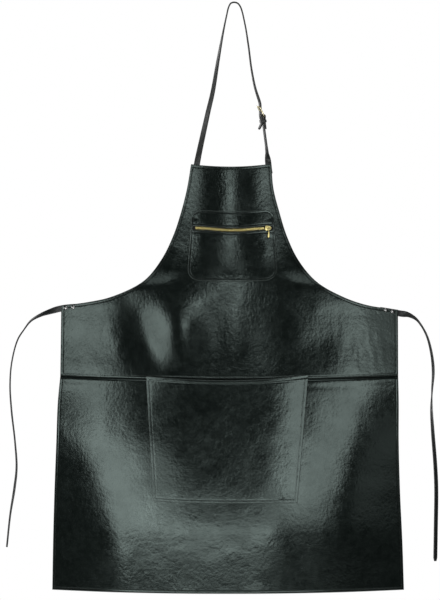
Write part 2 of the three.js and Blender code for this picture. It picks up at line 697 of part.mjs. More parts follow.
function sliderGeometry() {
  const deep = slider.plateFront - slider.plateBack;
  const plate = new THREE.BoxGeometry(slider.length, deep, slider.height);
  plate.translate(0, -(slider.plateFront + slider.plateBack) / 2, 0);
  const pieces = [plate];
  const flangeDeep = slider.plateFront - zipTeeth.back;
  for (const side of [-1, 1]) {
    const tall = sliderFlange.outer - sliderFlange.inner;
    const flange = new THREE.BoxGeometry(sliderFlange.length, flangeDeep - 2 * embed, tall);
    flange.translate(0, -zipTeeth.back - flangeDeep / 2, side * (sliderFlange.inner + tall / 2));
    pieces.push(flange);
    const postDeep = bridge.depth + bridge.radius - slider.plateBack;
    const post = new THREE.BoxGeometry(bridge.post, postDeep - 2 * embed, bridge.postHeight);
    post.translate(side * bridge.half, -slider.plateBack - postDeep / 2, 0);
    pieces.push(post);
  }
  const axis = new THREE.Vector3(1, 0, 0);
  const bridgeMiddle = new THREE.Vector3(0, -bridge.depth, 0);
  pieces.push(rodGeometry(bridge.radius, bridgeMiddle, axis, -bridge.half, bridge.half));
  return joined(pieces);
}

// Pull tab: an eye round the bridge and a slim drop-shaped tab
function pullGeometry() {
  const eye = ringGeometry(pull.eyeHole, pull.eyeOuter, pull.eyeWidth);
  eye.rotateY(Math.PI / 2);
  const start = -(pull.eyeHole + pull.eyeOuter) / 2;
  const shape = new THREE.Shape();
  shape.moveTo(-pull.neck, start);
  shape.lineTo(pull.neck, start);
  shape.quadraticCurveTo(pull.neck, -pull.neckTo, pull.wide, -pull.wideAt);
  shape.quadraticCurveTo(pull.wide, -pull.tipFrom, 0, -pull.length);
  shape.quadraticCurveTo(-pull.wide, -pull.tipFrom, -pull.wide, -pull.wideAt);
  shape.quadraticCurveTo(-pull.neck, -pull.neckTo, -pull.neck, start);
  const tab = new THREE.ExtrudeGeometry(shape, { depth: pull.wall, bevelEnabled: false, curveSegments: 5 });
  tab.translate(0, 0, -pull.wall / 2).rotateX(Math.PI / 2);
  return joined([eye, tab]);
}

// Materials, one for each mesh
const leather = (color, roughness) => new THREE.MeshStandardMaterial({ color, roughness, metalness: 0 });
const metal = (color, roughness) => new THREE.MeshStandardMaterial({ color, roughness, metalness: 1 });
const bodyFinish = () => leather(0x202624, 0.42);
const strapFinish = () => leather(0x161918, 0.5);
const brassFinish = () => metal(0xb9a968, 0.32);
const goldFinish = () => metal(0xe8dca0, 0.25);
const rivetFinish = () => metal(0x17191a, 0.28);
const tapeFinish = () => leather(0x121413, 0.9);

const apron = new THREE.Group();

function addPiece(name, geometry, material, parent = apron) {
  const faceted = geometry.attributes.normal ? bareGeometry(geometry) : geometry;
  faceted.computeVertexNormals();
  const mesh = new THREE.Mesh(faceted, material);
  mesh.name = name;
  parent.add(mesh);
  return mesh;
}

const zipBand = { half: zip.slotHalf, back: -6, ahead: 12 };
const tapeBand = { half: zipTape.half, back: seat, ahead: seat + zipTape.wall };
const chestSlot = zipStrip(zip.left, zip.right, zip.columns, () => zipBand);
const tapeEnds = [zip.left - zipTape.past, zip.right + zipTape.past];

addPiece('bib_panel', cut(bibGeometry(), [...rivetHoles('left'), ...rivetHoles('right')]), bodyFinish());
addPiece('skirt_panel', skirtGeometry(), bodyFinish());
addPiece('waist_pocket', waistPocketGeometry(), bodyFinish());
addPiece('chest_pocket', cut(chestSheet(), [chestSlot]), bodyFinish());
addPiece('zip_tape', zipStrip(...tapeEnds, zip.columns, () => tapeBand), tapeFinish());
addPiece('zip_teeth', zipTeethGeometry(), brassFinish());

const sliderPlace = sliderFrame();
apron.add(sliderPlace);
addPiece('zip_slider', sliderGeometry(), brassFinish(), sliderPlace);
const pullMesh = addPiece('zip_pull', pullGeometry(), brassFinish(), sliderPlace);
pullMesh.position.y = -bridge.depth;

addPiece('neck_strap_long', longStrapGeometry(), strapFinish());
addPiece('neck_strap_short', shortStrapGeometry(), strapFinish());
addPiece('buckle_frame', buckleFrameGeometry(), goldFinish());
addPiece('buckle_prong', prongGeometry(), goldFinish());
addPiece('strap_keeper', keeperGeometry(), strapFinish());
addPiece('waist_tie_left', tieGeometry(tieSewnLeft, tieFreeLeft, 'left'), strapFinish());
addPiece('waist_tie_right', tieGeometry(tieSewnRight, tieFreeRight, 'right'), strapFinish());
for (const place of rivetRows) {
  addPiece(place.name, rivetGeometry(place), rivetFinish());
}

export default apron;
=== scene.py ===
import math
import bpy
import bmesh
import numpy as np
from mathutils import Matrix, Vector
from mathutils.geometry import delaunay_2d_cdt


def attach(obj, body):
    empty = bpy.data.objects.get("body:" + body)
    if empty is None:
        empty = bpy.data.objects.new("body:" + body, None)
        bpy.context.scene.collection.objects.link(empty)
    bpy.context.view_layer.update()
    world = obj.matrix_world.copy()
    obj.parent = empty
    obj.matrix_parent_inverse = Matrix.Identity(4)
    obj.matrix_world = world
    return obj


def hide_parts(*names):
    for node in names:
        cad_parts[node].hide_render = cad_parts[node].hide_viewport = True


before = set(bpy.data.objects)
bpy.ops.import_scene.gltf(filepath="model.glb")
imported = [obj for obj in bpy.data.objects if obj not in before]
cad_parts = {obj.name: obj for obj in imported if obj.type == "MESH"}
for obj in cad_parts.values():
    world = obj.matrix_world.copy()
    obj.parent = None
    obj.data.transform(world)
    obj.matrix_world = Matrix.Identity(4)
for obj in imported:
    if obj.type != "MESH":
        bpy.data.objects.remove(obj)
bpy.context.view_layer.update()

# leather apron hung from the peak of its neck strap
# tables are in millimetres, the front faces -Y, "down" counts from the strap's peak
scene = bpy.context.scene
mm = 0.001
print("frame:", len(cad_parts), "nodes")


def addObject(name, data):
    made = bpy.data.objects.new(name, data)
    scene.collection.objects.link(made)
    return made


# camera, level with the middle of the apron and far away, as a long lens sees it
shot = {"aimX": -28, "aimZ": -594, "away": 14.0, "frameHeight": 1.2, "sensor": 36, "clipEnd": 100}

cameraData = bpy.data.cameras.new("camera")
cameraData.sensor_width = shot["sensor"]
cameraData.lens = shot["sensor"] * shot["away"] / shot["frameHeight"]
cameraData.clip_end = shot["clipEnd"]
camera = addObject("camera", cameraData)
camera.location = (shot["aimX"] * mm, -shot["away"], shot["aimZ"] * mm)
camera.rotation_euler = (math.radians(90), 0, 0)
scene.camera = camera
scene.view_settings.view_transform = "Standard"
print("camera:", round(cameraData.lens), "mm lens")


# small maths shared by the pieces

def columns(*values):  # one row for each point
    return np.stack(values, axis=1)


def unit(rows):
    return rows / np.linalg.norm(rows, axis=1)[:, None]


def between(first, last, share):
    return first + (last - first) * share


def lengthsAlong(points):  # distance run at each point of a line
    return np.concatenate([[0], np.cumsum(np.linalg.norm(np.diff(points, axis=0), axis=1))])


def alongTable(table, column, place):  # smooth curve through one column, first column is the place
    keys = np.array([row[0] for row in table], float)
    values = np.array([row[column] for row in table], float)
    last = len(keys) - 1
    before = np.maximum(np.arange(last + 1) - 1, 0)
    after = np.minimum(np.arange(last + 1) + 1, last)
    slopes = (values[after] - values[before]) / (keys[after] - keys[before])
    held = np.clip(place, keys[0], keys[last])
    i = np.clip(np.searchsorted(keys, held) - 1, 0, last - 1)
    gap = keys[i + 1] - keys[i]
    t = (held - keys[i]) / gap
    rise = (values[i + 1] - values[i]) * t * t * (3 - 2 * t)
    bend = gap * t * (1 - t) * ((1 - t) * slopes[i] - t * slopes[i + 1])
    return values[i] + rise + bend


def curveThrough(points, perSpan):  # even-handed spline through points, perSpan steps each
    points = np.asarray(points, float)
    padded = np.vstack([2 * points[0] - points[1], points, 2 * points[-1] - points[-2]])
    gaps = np.sqrt(np.maximum(np.linalg.norm(np.diff(padded, axis=0), axis=1), 1e-6))
    t = (np.arange(perSpan) / perSpan)[:, None]
    made = []
    for k in range(len(points) - 1):
        first, start, end, last = padded[k:k + 4]
        before, here, after = gaps[k:k + 3]
        leave = here * ((start - first) / before - (end - first) / (before + here) + (end - start) / here)
        arrive = here * ((end - start) / here - (last - start) / (here + after) + (last - end) / after)
        eased = (1 + 2 * t) * (1 - t) ** 2 * start + t * (1 - t) ** 2 * leave
        made.append(eased + t * t * (3 - 2 * t) * end + t * t * (t - 1) * arrive)
    return np.vstack(made + [points[-1:]])


hashed = {"offX": 137.0, "offZ": 911.0, "across": 374761393, "up": 668265263, "seed": 974634777,
          "stir": 1274126177, "word": 0xffffffff, "half": 0xffff, "middle": 32767.5}


def softNoise(x, z, sizeX, sizeZ, seed):  # smooth random field from -1 to 1
    u = np.asarray(x, float) / sizeX + hashed["offX"]
    v = np.asarray(z, float) / sizeZ + hashed["offZ"]
    i = np.floor(u).astype(np.int64)
    k = np.floor(v).astype(np.int64)

    def eased(t):
        return t * t * t * (t * (t * 6 - 15) + 10)

    def knot(a, b):
        h = (a * hashed["across"] + b * hashed["up"] + seed * hashed["seed"]) & hashed["word"]
        h = ((h ^ (h >> 13)) * hashed["stir"]) & hashed["word"]
        return ((h ^ (h >> 16)) & hashed["half"]) / hashed["middle"] - 1

    fu = eased(u - i)
    fv = eased(v - k)
    low = knot(i, k) * (1 - fu) + knot(i + 1, k) * fu
    high = knot(i, k + 1) * (1 - fu) + knot(i + 1, k + 1) * fu
    return low * (1 - fv) + high * fv


def smoothStep(value, low, high):
    t = np.clip((value - low) / (high - low), 0, 1)
    return t * t * (3 - 2 * t)


def patch(x, z, midX, midZ, reachX, reachZ):  # soft spot, 1 in its middle
    return np.exp(-((x - midX) / reachX) ** 2 - ((z - midZ) / reachZ) ** 2)


# how the body hangs, the same rule as the solids plus the leather's own small waves
hang = {
    "middle": -8, "bowUnit": 100, "probe": 2,
    "rows": [  # down, forward, bow, flat share of the middle
        (300, -5, 21.5, 0), (400, 2, 19, 0), (470, 8, 15.5, 0), (530, 13, 10.5, 0), (562, 15.5, 6.5, 0.1),
        (590, 17.6, 5.9, 0.2), (625, 20, 5.9, 0.28), (680, 24, 5.95, 0.38), (760, 29, 6.6, 0.7),
        (860, 33, 7.2, 0.78), (960, 34.5, 7.8, 0.62), (1000, 34, 8.0, 0.55), (1060, 30.5, 8.2, 0.5),
        (1180, 17, 8.2, 0.4),
    ],
    "folds": [  # topX, topDown, lowX, lowDown, halfWidth, forward
        (-223, 540, -136, 800, 36, -4.2), (-122, 540, -104, 800, 44, 4.6), (-180, 660, -190, 1080, 56, 2.4),
        (-300, 700, -200, 1420, 62, 4), (262, 620, 190, 1420, 56, 3), (215, 570, 150, 760, 38, -1.2),
    ],
    "fineFolds": [(-118, 545, -100, 745, 40, 2.4), (4, 540, -2, 780, 24, 1.1)],
    "calm": [  # midX, midZ, reachX, reachZ where something is fastened
        (-330, -609, 45, 30), (311, -616, 45, 30), (-76, -332, 22, 26), (71, -335, 22, 26),
    ],
    "waves": [  # sizeX, sizeZ, depth, seed
        (120, 150, 0.8, 3), (52, 60, 0.26, 8), (24, 27, 0.10, 21), (11, 12, 0.036, 34),
    ],
    "crackles": [  # midX, midZ, reachX, reachZ, sizeX, sizeZ, depth, seed
        (262, -694, 52, 34, 9, 55, 0.34, 5), (-280, -690, 60, 46, 13, 50, 0.2, 6),
        (150, -722, 90, 16, 12, 40, 0.18, 7), (-40, -640, 120, 60, 30, 18, 0.05, 9),
        (-60, -1080, 160, 50, 26, 20, 0.16, 12),
    ],
}


def foldDepth(folds, x, down):
    depth = 0
    for topX, topDown, lowX, lowDown, halfWidth, forward in folds:
        t = np.clip((down - topDown) / (lowDown - topDown), 0, 1)
        away = (x - between(topX, lowX, t)) / halfWidth
        depth = depth + forward * np.sin(np.pi * t) ** 2 * np.exp(-away ** 2)
    return depth


def drape(x, z):
    x = np.asarray(x, float)
    down = -np.asarray(z, float)
    across = np.abs(x - hang["middle"]) / hang["bowUnit"] - alongTable(hang["rows"], 3, down)
    y = alongTable(hang["rows"], 2, down) * np.maximum(across, 0) ** 2 - alongTable(hang["rows"], 1, down)
    return y - foldDepth(hang["folds"], x, down)


def bodyFront(x, z):  # front face of the leather body, with its waves
    y = drape(x, z) - foldDepth(hang["fineFolds"], np.asarray(x, float), -np.asarray(z, float))
    wavy = 1
    for spot in hang["calm"]:
        wavy = wavy * (1 - patch(x, z, *spot))
    for sizeX, sizeZ, depth, seed in hang["waves"]:
        y = y + wavy * depth * softNoise(x, z, sizeX, sizeZ, seed)
    for midX, midZ, reachX, reachZ, sizeX, sizeZ, depth, seed in hang["crackles"]:
        y = y + depth * patch(x, z, midX, midZ, reachX, reachZ) * softNoise(x, z, sizeX, sizeZ, seed)
    return y


def slopeOver(x, z, stepX, stepZ):
    return float(drape(x + stepX, z + stepZ) - drape(x - stepX, z - stepZ)) / (2 * hang["probe"])


def slopeAcross(x, z):
    return slopeOver(x, z, hang["probe"], 0)


def slopeUp(x, z):
    return slopeOver(x, z, 0, hang["probe"])


# materials

def fill(tree, made, inputs):
    for key, value in inputs.items():
        if isinstance(value, bpy.types.NodeSocket):
            tree.links.new(value, made.inputs[key])
        else:
            made.inputs[key].default_value = value


def node(tree, kind, inputs=None, **settings):
    made = tree.nodes.new(kind)
    for key, value in settings.items():
        setattr(made, key, value)
    fill(tree, made, inputs or {})
    return made


def openMaterial(name):
    material = bpy.data.materials.new(name)
    material.use_nodes = True
    tree = material.node_tree
    tree.nodes.clear()
    shader = node(tree, "ShaderNodeBsdfPrincipled")
    node(tree, "ShaderNodeOutputMaterial", {"Surface": shader.outputs["BSDF"]})
    return material, tree, shader


def objectPlace(tree, scale=(1, 1, 1)):
    coords = node(tree, "ShaderNodeTexCoord").outputs["Object"]
    return node(tree, "ShaderNodeMapping", {"Vector": coords, "Scale": scale}).outputs["Vector"]


def noiseAt(tree, place, scale, detail=3.0, rough=0.55):
    settings = {"Vector": place, "Scale": scale, "Detail": detail, "Roughness": rough}
    return node(tree, "ShaderNodeTexNoise", settings).outputs["Fac"]


def cellsAt(tree, place, scale):
    settings = {"Vector": place, "Scale": scale}
    return node(tree, "ShaderNodeTexVoronoi", settings, feature="SMOOTH_F1").outputs["Distance"]


def wavesAt(tree, place, scale, distortion, direction="X"):
    settings = {"Vector": place, "Scale": scale, "Distortion": distortion}
    return node(tree, "ShaderNodeTexWave", settings, bands_direction=direction).outputs["Fac"]


def spread(tree, value, fromRange, toRange):
    made = node(tree, "ShaderNodeMapRange", {
        "Value": value, "From Min": fromRange[0], "From Max": fromRange[1],
        "To Min": toRange[0], "To Max": toRange[1]})
    return made.outputs["Result"]


def combine(tree, first, second, operation="ADD"):
    return node(tree, "ShaderNodeMath", {0: first, 1: second}, operation=operation).outputs[0]


def blendColours(tree, factor, first, second):
    made = node(tree, "ShaderNodeMix", data_type="RGBA")
    inputs = {socket.identifier: k for k, socket in enumerate(made.inputs)}
    fill(tree, made, {inputs["Factor_Float"]: factor, inputs["A_Color"]: first, inputs["B_Color"]: second})
    return next(socket for socket in made.outputs if socket.identifier == "Result_Color")


def bumpOn(tree, height, distance, strength=1.0, under=None):
    inputs = {"Height": height, "Distance": distance, "Strength": strength}
    if under is not None:
        inputs["Normal"] = under
    return node(tree, "ShaderNodeBump", inputs).outputs["Normal"]


def markOf(tree, name):
    return node(tree, "ShaderNodeAttribute", attribute_name=name).outputs["Fac"]


# the tint for the cut edges is a painted highlight, lighter than the leather itself
hide = {
    "deep": (0.0030, 0.0046, 0.0041, 1), "worn": (0.0075, 0.0102, 0.0092, 1),
    "edgeHighlightTint": (0.034, 0.040, 0.037, 1), "flesh": (0.062, 0.056, 0.050, 1), "nap": (0.11, 0.10, 0.09, 1),
    "glint": (0.80, 1.0, 0.94, 1),
    "shine": (0.13, 0.22), "uneven": (-0.03, 0.04), "fleshDull": 0.5, "specular": 0.55,
    "cloud": (17.0, 5.0, 0.6), "mottle": (95.0, 4.0, 0.6), "creases": (210.0, 2.0, 0.5),
    "pores": (2600.0, 2.0), "creaseStretch": (1, 1, 0.75), "grain": 820.0,
    "creaseDepth": 0.0002, "mottleDepth": 0.00018, "grainDepth": 0.00003, "poreDepth": 0.00001,
}
midBand = (0.3, 0.7)  # where most of a noise's values lie


def makeHideLeather():
    material, tree, shader = openMaterial("hideLeather")
    place = objectPlace(tree)
    cloud = noiseAt(tree, place, *hide["cloud"])
    mottle = noiseAt(tree, place, *hide["mottle"])
    creases = noiseAt(tree, objectPlace(tree, hide["creaseStretch"]), *hide["creases"])
    pores = noiseAt(tree, place, *hide["pores"])
    flesh = markOf(tree, "flesh")
    tint = blendColours(tree, spread(tree, mottle, (0.3, 0.72), (0.0, 0.75)), hide["deep"], hide["worn"])
    # painted highlight: the base colour is lightened along the cut edges
    tint = blendColours(tree, markOf(tree, "edgeHighlight"), tint, hide["edgeHighlightTint"])
    nap = blendColours(tree, mottle, hide["flesh"], hide["nap"])
    gloss = spread(tree, cloud, midBand, hide["shine"])
    gloss = combine(tree, gloss, spread(tree, mottle, midBand, hide["uneven"]))
    dull = combine(tree, flesh, hide["fleshDull"], "MULTIPLY")
    broad = bumpOn(tree, creases, hide["creaseDepth"], 1.0, bumpOn(tree, mottle, hide["mottleDepth"]))
    grain = bumpOn(tree, cellsAt(tree, place, hide["grain"]), hide["grainDepth"], 0.9, broad)
    fill(tree, shader, {
        "Base Color": blendColours(tree, flesh, tint, nap), "Roughness": combine(tree, gloss, dull),
        "Specular IOR Level": hide["specular"], "Specular Tint": hide["glint"],
        "Normal": bumpOn(tree, pores, hide["poreDepth"], 0.8, grain)})
    return material


# the edge tint here is a painted highlight on the strap's narrow sides
strapHide = {
    "tint": (0.0065, 0.0085, 0.0078, 1), "worn": (0.016, 0.019, 0.018, 1),
    "edgeHighlightTint": (0.020, 0.021, 0.020, 1), "shine": (0.34, 0.48), "mottle": (120.0, 4.0),
    "fibre": (2200.0, 2.0), "fibreStretch": (1, 1, 0.2),
    "grain": 900.0, "grainDepth": 0.00006, "fibreDepth": 0.00003,
}


def makeStrapLeather():
    material, tree, shader = openMaterial("strapLeather")
    place = objectPlace(tree)
    mottle = noiseAt(tree, place, *strapHide["mottle"])
    fibre = noiseAt(tree, objectPlace(tree, strapHide["fibreStretch"]), *strapHide["fibre"])
    worn = spread(tree, mottle, (0.35, 0.7), (0.0, 0.6))
    tint = blendColours(tree, worn, strapHide["tint"], strapHide["worn"])
    grain = bumpOn(tree, cellsAt(tree, place, strapHide["grain"]), strapHide["grainDepth"], 0.9)
    # painted highlight: the base colour is lightened on the strap's edges
    fill(tree, shader, {
        "Base Color": blendColours(tree, markOf(tree, "edgeHighlight"), tint, strapHide["edgeHighlightTint"]),
        "Roughness": spread(tree, mottle, midBand, strapHide["shine"]),
        "Normal": bumpOn(tree, fibre, strapHide["fibreDepth"], 0.6, grain)})
    return material


yarn = {
    "thread": ((0.006, 0.008, 0.007, 1), (0.020, 0.024, 0.022, 1)), "threadRough": 0.5,
    "tape": ((0.004, 0.005, 0.005, 1), (0.016, 0.018, 0.017, 1)), "tapeRough": 0.85,
    "threadDepth": 0.00008, "tapeDepth": 0.0002,
    "twist": (900.0, 2.0), "warp": (420.0, 0.4, "Z"), "weft": (300.0, 0.4, "X"),
}


def makeYarn(name, kind):
    material, tree, shader = openMaterial(name)
    place = objectPlace(tree)
    if kind == "thread":
        relief = wavesAt(tree, place, *yarn["twist"])
    else:
        warp = wavesAt(tree, place, *yarn["warp"])
        relief = combine(tree, warp, wavesAt(tree, place, *yarn["weft"]), "MULTIPLY")
    fill(tree, shader, {
        "Base Color": blendColours(tree, relief, *yarn[kind]), "Roughness": yarn[kind + "Rough"],
        "Normal": bumpOn(tree, relief, yarn[kind + "Depth"])})
    return material


metals = {  # light, dark, roughness, scratch depth, smear scale, smear band
    "zipBrass": ((0.86, 0.76, 0.36, 1), (0.58, 0.49, 0.19, 1), (0.27, 0.4), 0.00002, 260.0, (0.35, 0.7)),
    "buckleGold": ((1.0, 0.92, 0.62, 1), (0.92, 0.80, 0.48, 1), (0.28, 0.42), 0.00001, 260.0, (0.35, 0.7)),
    "rivetBlack": ((0.34, 0.345, 0.34, 1), (0.46, 0.465, 0.46, 1), (0.12, 0.22), 0, 500.0, (0.5, 0.8)),
}
scratches = {"stretch": (1, 1, 0.12), "noise": (2400.0, 3.0), "smearDetail": 4.0}


def makeMetal(name):
    light, dark, shine, scratch, smearScale, smearBand = metals[name]
    material, tree, shader = openMaterial(name)
    smear = noiseAt(tree, objectPlace(tree), smearScale, scratches["smearDetail"])
    fill(tree, shader, {
        "Base Color": blendColours(tree, spread(tree, smear, smearBand, (0.0, 1.0)), light, dark),
        "Roughness": spread(tree, smear, midBand, shine), "Metallic": 1.0})
    if scratch:
        lines = noiseAt(tree, objectPlace(tree, scratches["stretch"]), *scratches["noise"])
        fill(tree, shader, {"Normal": bumpOn(tree, lines, scratch)})
    return material


hideLeather = makeHideLeather()
strapLeather = makeStrapLeather()
waxedThread = makeYarn("waxedThread", "thread")
wovenTape = makeYarn("wovenTape", "tape")
zipBrass, buckleGold, rivetBlack = (makeMetal(name) for name in metals)
print("materials:", len(bpy.data.materials))


# meshes

def meshPiece(name, corners, faces, uv=None, marks=None):
    mesh = bpy.data.meshes.new(name)
    mesh.from_pydata((np.asarray(corners, float) * mm).tolist(), [], faces)
    if uv is not None:
        layer = mesh.uv_layers.new(name="lay")
        ends = np.zeros(len(mesh.loops), np.int32)
        mesh.loops.foreach_get("vertex_index", ends)
        layer.data.foreach_set("uv", np.asarray(uv, np.float32)[ends].ravel())
    for key, values in (marks or {}).items():
        mark = mesh.attributes.new(key, "FLOAT", "POINT")
        mark.data.foreach_set("value", np.asarray(values, np.float32))
    mesh.shade_smooth()
    mesh.update()
    return addObject(name, mesh)


def meshFrom(work, name):  # turns a finished bmesh into a mesh
    mesh = bpy.data.meshes.new(name)
    work.to_mesh(mesh)
    work.free()
    return mesh


def faceOut(piece):
    work = bmesh.new()
    work.from_mesh(piece.data)
    bmesh.ops.recalc_face_normals(work, faces=work.faces)
    work.to_mesh(piece.data)
    work.free()


def dress(piece, material, nodes=(), body="apron"):
    piece.data.materials.clear()
    piece.data.materials.append(material)
    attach(piece, body)
    if nodes:
        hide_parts(*nodes)


def evenLoop(points, step):  # closed outline with no span longer than step
    points = np.asarray(points, float)
    made = []
    for a, b in zip(points, np.roll(points, -1, axis=0)):
        length = np.linalg.norm(b - a)
        if length < 1e-6:
            continue
        count = max(1, int(math.ceil(length / step)))
        made.extend(a + (b - a) * k / count for k in range(count))
    return np.array(made)


def insetLoop(loop, distance):  # the outline moved inwards, with sharp corners held back
    ahead = unit(np.roll(loop, -1, axis=0) - loop)
    left = columns(-ahead[:, 1], ahead[:, 0])
    both = left + np.roll(left, 1, axis=0)
    both /= np.maximum((both ** 2).sum(1) / 2, 0.3)[:, None]
    return loop + both * distance


def edgeDistance(points, loops, chunk=1500):  # chunks keep the memory small
    best = np.full(len(points), 1e9)
    for loop in loops:
        span = np.roll(loop, -1, axis=0) - loop
        long2 = (span ** 2).sum(1)
        for start in range(0, len(points), chunk):
            part = slice(start, start + chunk)
            here = points[part, None, :] - loop[None]
            t = np.clip((here * span).sum(2) / long2, 0, 1)
            gap = here - t[..., None] * span
            best[part] = np.minimum(best[part], np.sqrt((gap ** 2).sum(2).min(1)))
    return best


def insideLoop(points, loop):
    inside = np.zeros(len(points), bool)
    x, z = points[:, 0], points[:, 1]
    for (ax, az), (bx, bz) in zip(loop, np.roll(loop, -1, axis=0)):
        if az == bz:
            continue
        crossing = (az > z) != (bz > z)
        inside ^= crossing & (x < (bx - ax) * (z - az) / (bz - az) + ax)
    return inside


def triangleTurns(flat, faces):  # twice the signed area of each triangle
    a, b, c = (flat[faces[:, k]] for k in range(3))
    return (b[:, 0] - a[:, 0]) * (c[:, 1] - a[:, 1]) - (b[:, 1] - a[:, 1]) * (c[:, 0] - a[:, 0])


# how far in each sewn line runs, how deep it presses the leather, and its stitches
sewing = {
    "bodyInset": 5.0, "seamInset": 6.0, "chestInset": 4.2, "pocketInset": 6.0, "dentHalf": 0.75,
    "bodyDent": 0.28, "chestDent": 0.24, "pocketDent": 0.14, "bodyPitch": 3.4, "bodyHalf": 1.35,
    "pocketPitch": 3.0, "pocketHalf": 1.2, "thread": 0.33, "proud": -0.16, "bodyStep": 3.0,
    "chestStep": 2.2, "slotStep": 1.6, "slack": 0.05, "shortest": 3, "offSeam": 9, "nearSeam": 8,
    "offMouth": 7.2, "mouthShare": 0.985, "mouthDrop": 0.4, "mouthSteps": 120,
}
# one entry sets how far in from the cut edge the painted edge highlight fades
sheetMesh = {
    "edgeSteps": (0.07, 0.22, 0.45, 0.9, 1.6, 2.5, 3.4, 4.2, 5.0, 5.8, 6.6, 7.8, 9.6, 12.5),
    "slack": 0.02, "hexRow": 0.866, "clear": 0.6, "merge": 1e-5, "rim": 1e-3, "rimFlesh": 0.5, "edgeHighlightFade": 1.1,
}


def sheetPoints(loops, step, lines):  # rings along the edges, given lines, and an even field between
    edgeSteps = sheetMesh["edgeSteps"]
    rings = []
    for loop in loops:
        for inset in edgeSteps:
            ring = insetLoop(loop, inset)
            rings.append(ring[edgeDistance(ring, loops) > inset - sheetMesh["slack"]])
    low, high = loops[0].min(0), loops[0].max(0)
    across = np.arange(low[0], high[0], step)
    rows = np.arange(low[1], high[1], step * sheetMesh["hexRow"])
    field = np.array([(x + (k % 2) * step / 2, z) for k, z in enumerate(rows) for x in across])
    field = field[insideLoop(field, loops[0])]
    field = field[edgeDistance(field, loops) > edgeSteps[-1] + sheetMesh["clear"] * step]
    if lines:
        field = field[edgeDistance(field, lines) > sheetMesh["clear"] * step]
    ringPoints = np.vstack(rings + list(lines))
    return np.vstack(loops + [ringPoints[insideLoop(ringPoints, loops[0])], field])


def flatTriangles(loops, points):  # joins the points, keeps the holes open, drops what isn't used
    edges = []
    start = 0
    for loop in loops:
        count = len(loop)
        edges += [(start + k, start + (k + 1) % count) for k in range(count)]
        start += count
    flat, _, faces, _, _, _ = delaunay_2d_cdt([Vector(p) for p in points], edges, [], 1, sheetMesh["merge"])
    flat = np.array([tuple(p) for p in flat])
    faces = np.array([tuple(f) for f in faces if len(f) == 3])
    for hole in loops[1:]:
        faces = faces[~insideLoop(flat[faces].mean(1), hole)]
    turned = triangleTurns(flat, faces) < 0
    faces[turned] = faces[turned][:, ::-1]
    used = np.unique(faces)
    place = np.full(len(flat), -1)
    place[used] = np.arange(len(used))
    return flat[used], place[faces]


def leatherSheet(name, outline, frontAt, wall, step=4.0, holes=(), lines=(), stitchAt=sewing["bodyInset"],
                 stitchDent=sewing["bodyDent"], edgeStep=3.0):
    loops = [evenLoop(outline, edgeStep)] + [evenLoop(hole, sewing["slotStep"]) for hole in holes]
    flat, faces = flatTriangles(loops, sheetPoints(loops, step, lines))
    inside = edgeDistance(flat, loops)
    x, z = flat[:, 0], flat[:, 1]
    edgeShare = np.minimum(inside / (wall / 2), 1)
    full = np.sqrt(np.maximum(1 - (1 - edgeShare) ** 2, 0))
    middle = frontAt(x, z) + wall / 2
    dent = stitchDent * np.exp(-((inside - stitchAt) / sewing["dentHalf"]) ** 2)
    front = columns(x, middle - wall / 2 * full + dent, z)
    back = columns(x, middle + wall / 2 * full, z)
    rim = inside < sheetMesh["rim"]
    backPlace = np.where(rim, np.arange(len(flat)), len(flat) + np.cumsum(~rim) - 1)
    allFaces = np.vstack([faces, backPlace[faces][:, ::-1]]).tolist()
    flesh = np.concatenate([np.where(rim, sheetMesh["rimFlesh"], 0.0), np.ones((~rim).sum())])
    # painted highlight mask, strongest on the cut edge and gone about a millimetre in
    edgeHighlightFade = np.exp(-inside / sheetMesh["edgeHighlightFade"])
    piece = meshPiece(name, np.vstack([front, back[~rim]]), allFaces, np.vstack([flat, flat[~rim]]) * mm,
                      {"flesh": flesh, "edgeHighlight": np.concatenate([edgeHighlightFade, edgeHighlightFade[~rim]])})
    area = 0.5 * np.abs(triangleTurns(flat, faces)).sum() * mm * mm
    print("leather:", name, len(allFaces), "triangles,", round(area, 4), "m2")
    return piece, area


# bib and skirt
body = {
    "wall": 1.8, "bibTopSag": 327, "seamSag": 753, "hemSag": 1181, "seamGap": 0.4,
    "roll": 1.5, "rollReach": 1.4,
    "armholes": [  # leftX, leftDown, rightX, rightDown
        (-86, 322, 75, 321), (-94, 370, 79, 370), (-106, 418, 91, 418), (-122, 466, 106, 466),
        (-146, 514, 129, 514), (-181, 556, 165, 557), (-244, 587, 217, 587), (-292, 598, 266, 604),
        (-346.5, 605, 329, 613.5),
    ],
    "skirtSides": [  # down, left, right
        (746, -348, 329), (800, -353, 330), (880, -356, 330), (980, -360, 333), (1080, -363, 338),
        (1176, -365, 341.5),
    ],
    "tuck": 12.0, "tuckDeep": 3.9, "tuckReach": 1.7, "tuckLean": 0.2, "leanReach": 2, "tuckInset": 4,
    "lipRows": (0.7, 1.4, 2.1, 2.8, 3.6, 4.6, 6.0, 8.0), "lipInset": 14, "lipStep": 3.0,
    "crease": (-40, 17, 260, 5), "creaseDeep": 0.7,  # soft crease under the seam: midX, below, reaches
    "armSteps": 16, "topSteps": 120, "rowSteps": 200, "sideSteps": 90,
}


def saggingRow(left, right, sag, count):  # from left to right, middle lower than the ends
    u = np.linspace(-1, 1, count)
    ends = np.where(u < 0, left[1], right[1])
    return columns(between(left[0], right[0], (u + 1) / 2), -sag + (ends + sag) * u * u)


leftArm = curveThrough([(x, -down) for x, down, _, _ in body["armholes"]], body["armSteps"])
rightArm = curveThrough([(x, -down) for _, _, x, down in body["armholes"]], body["armSteps"])
seamDown, seamLeft, seamRight = body["skirtSides"][0]


def seamLine(x):
    t = np.clip((np.asarray(x, float) - seamLeft) / (seamRight - seamLeft), 0, 1)
    return -body["seamSag"] + (body["seamSag"] - seamDown) * (2 * t - 1) ** 2


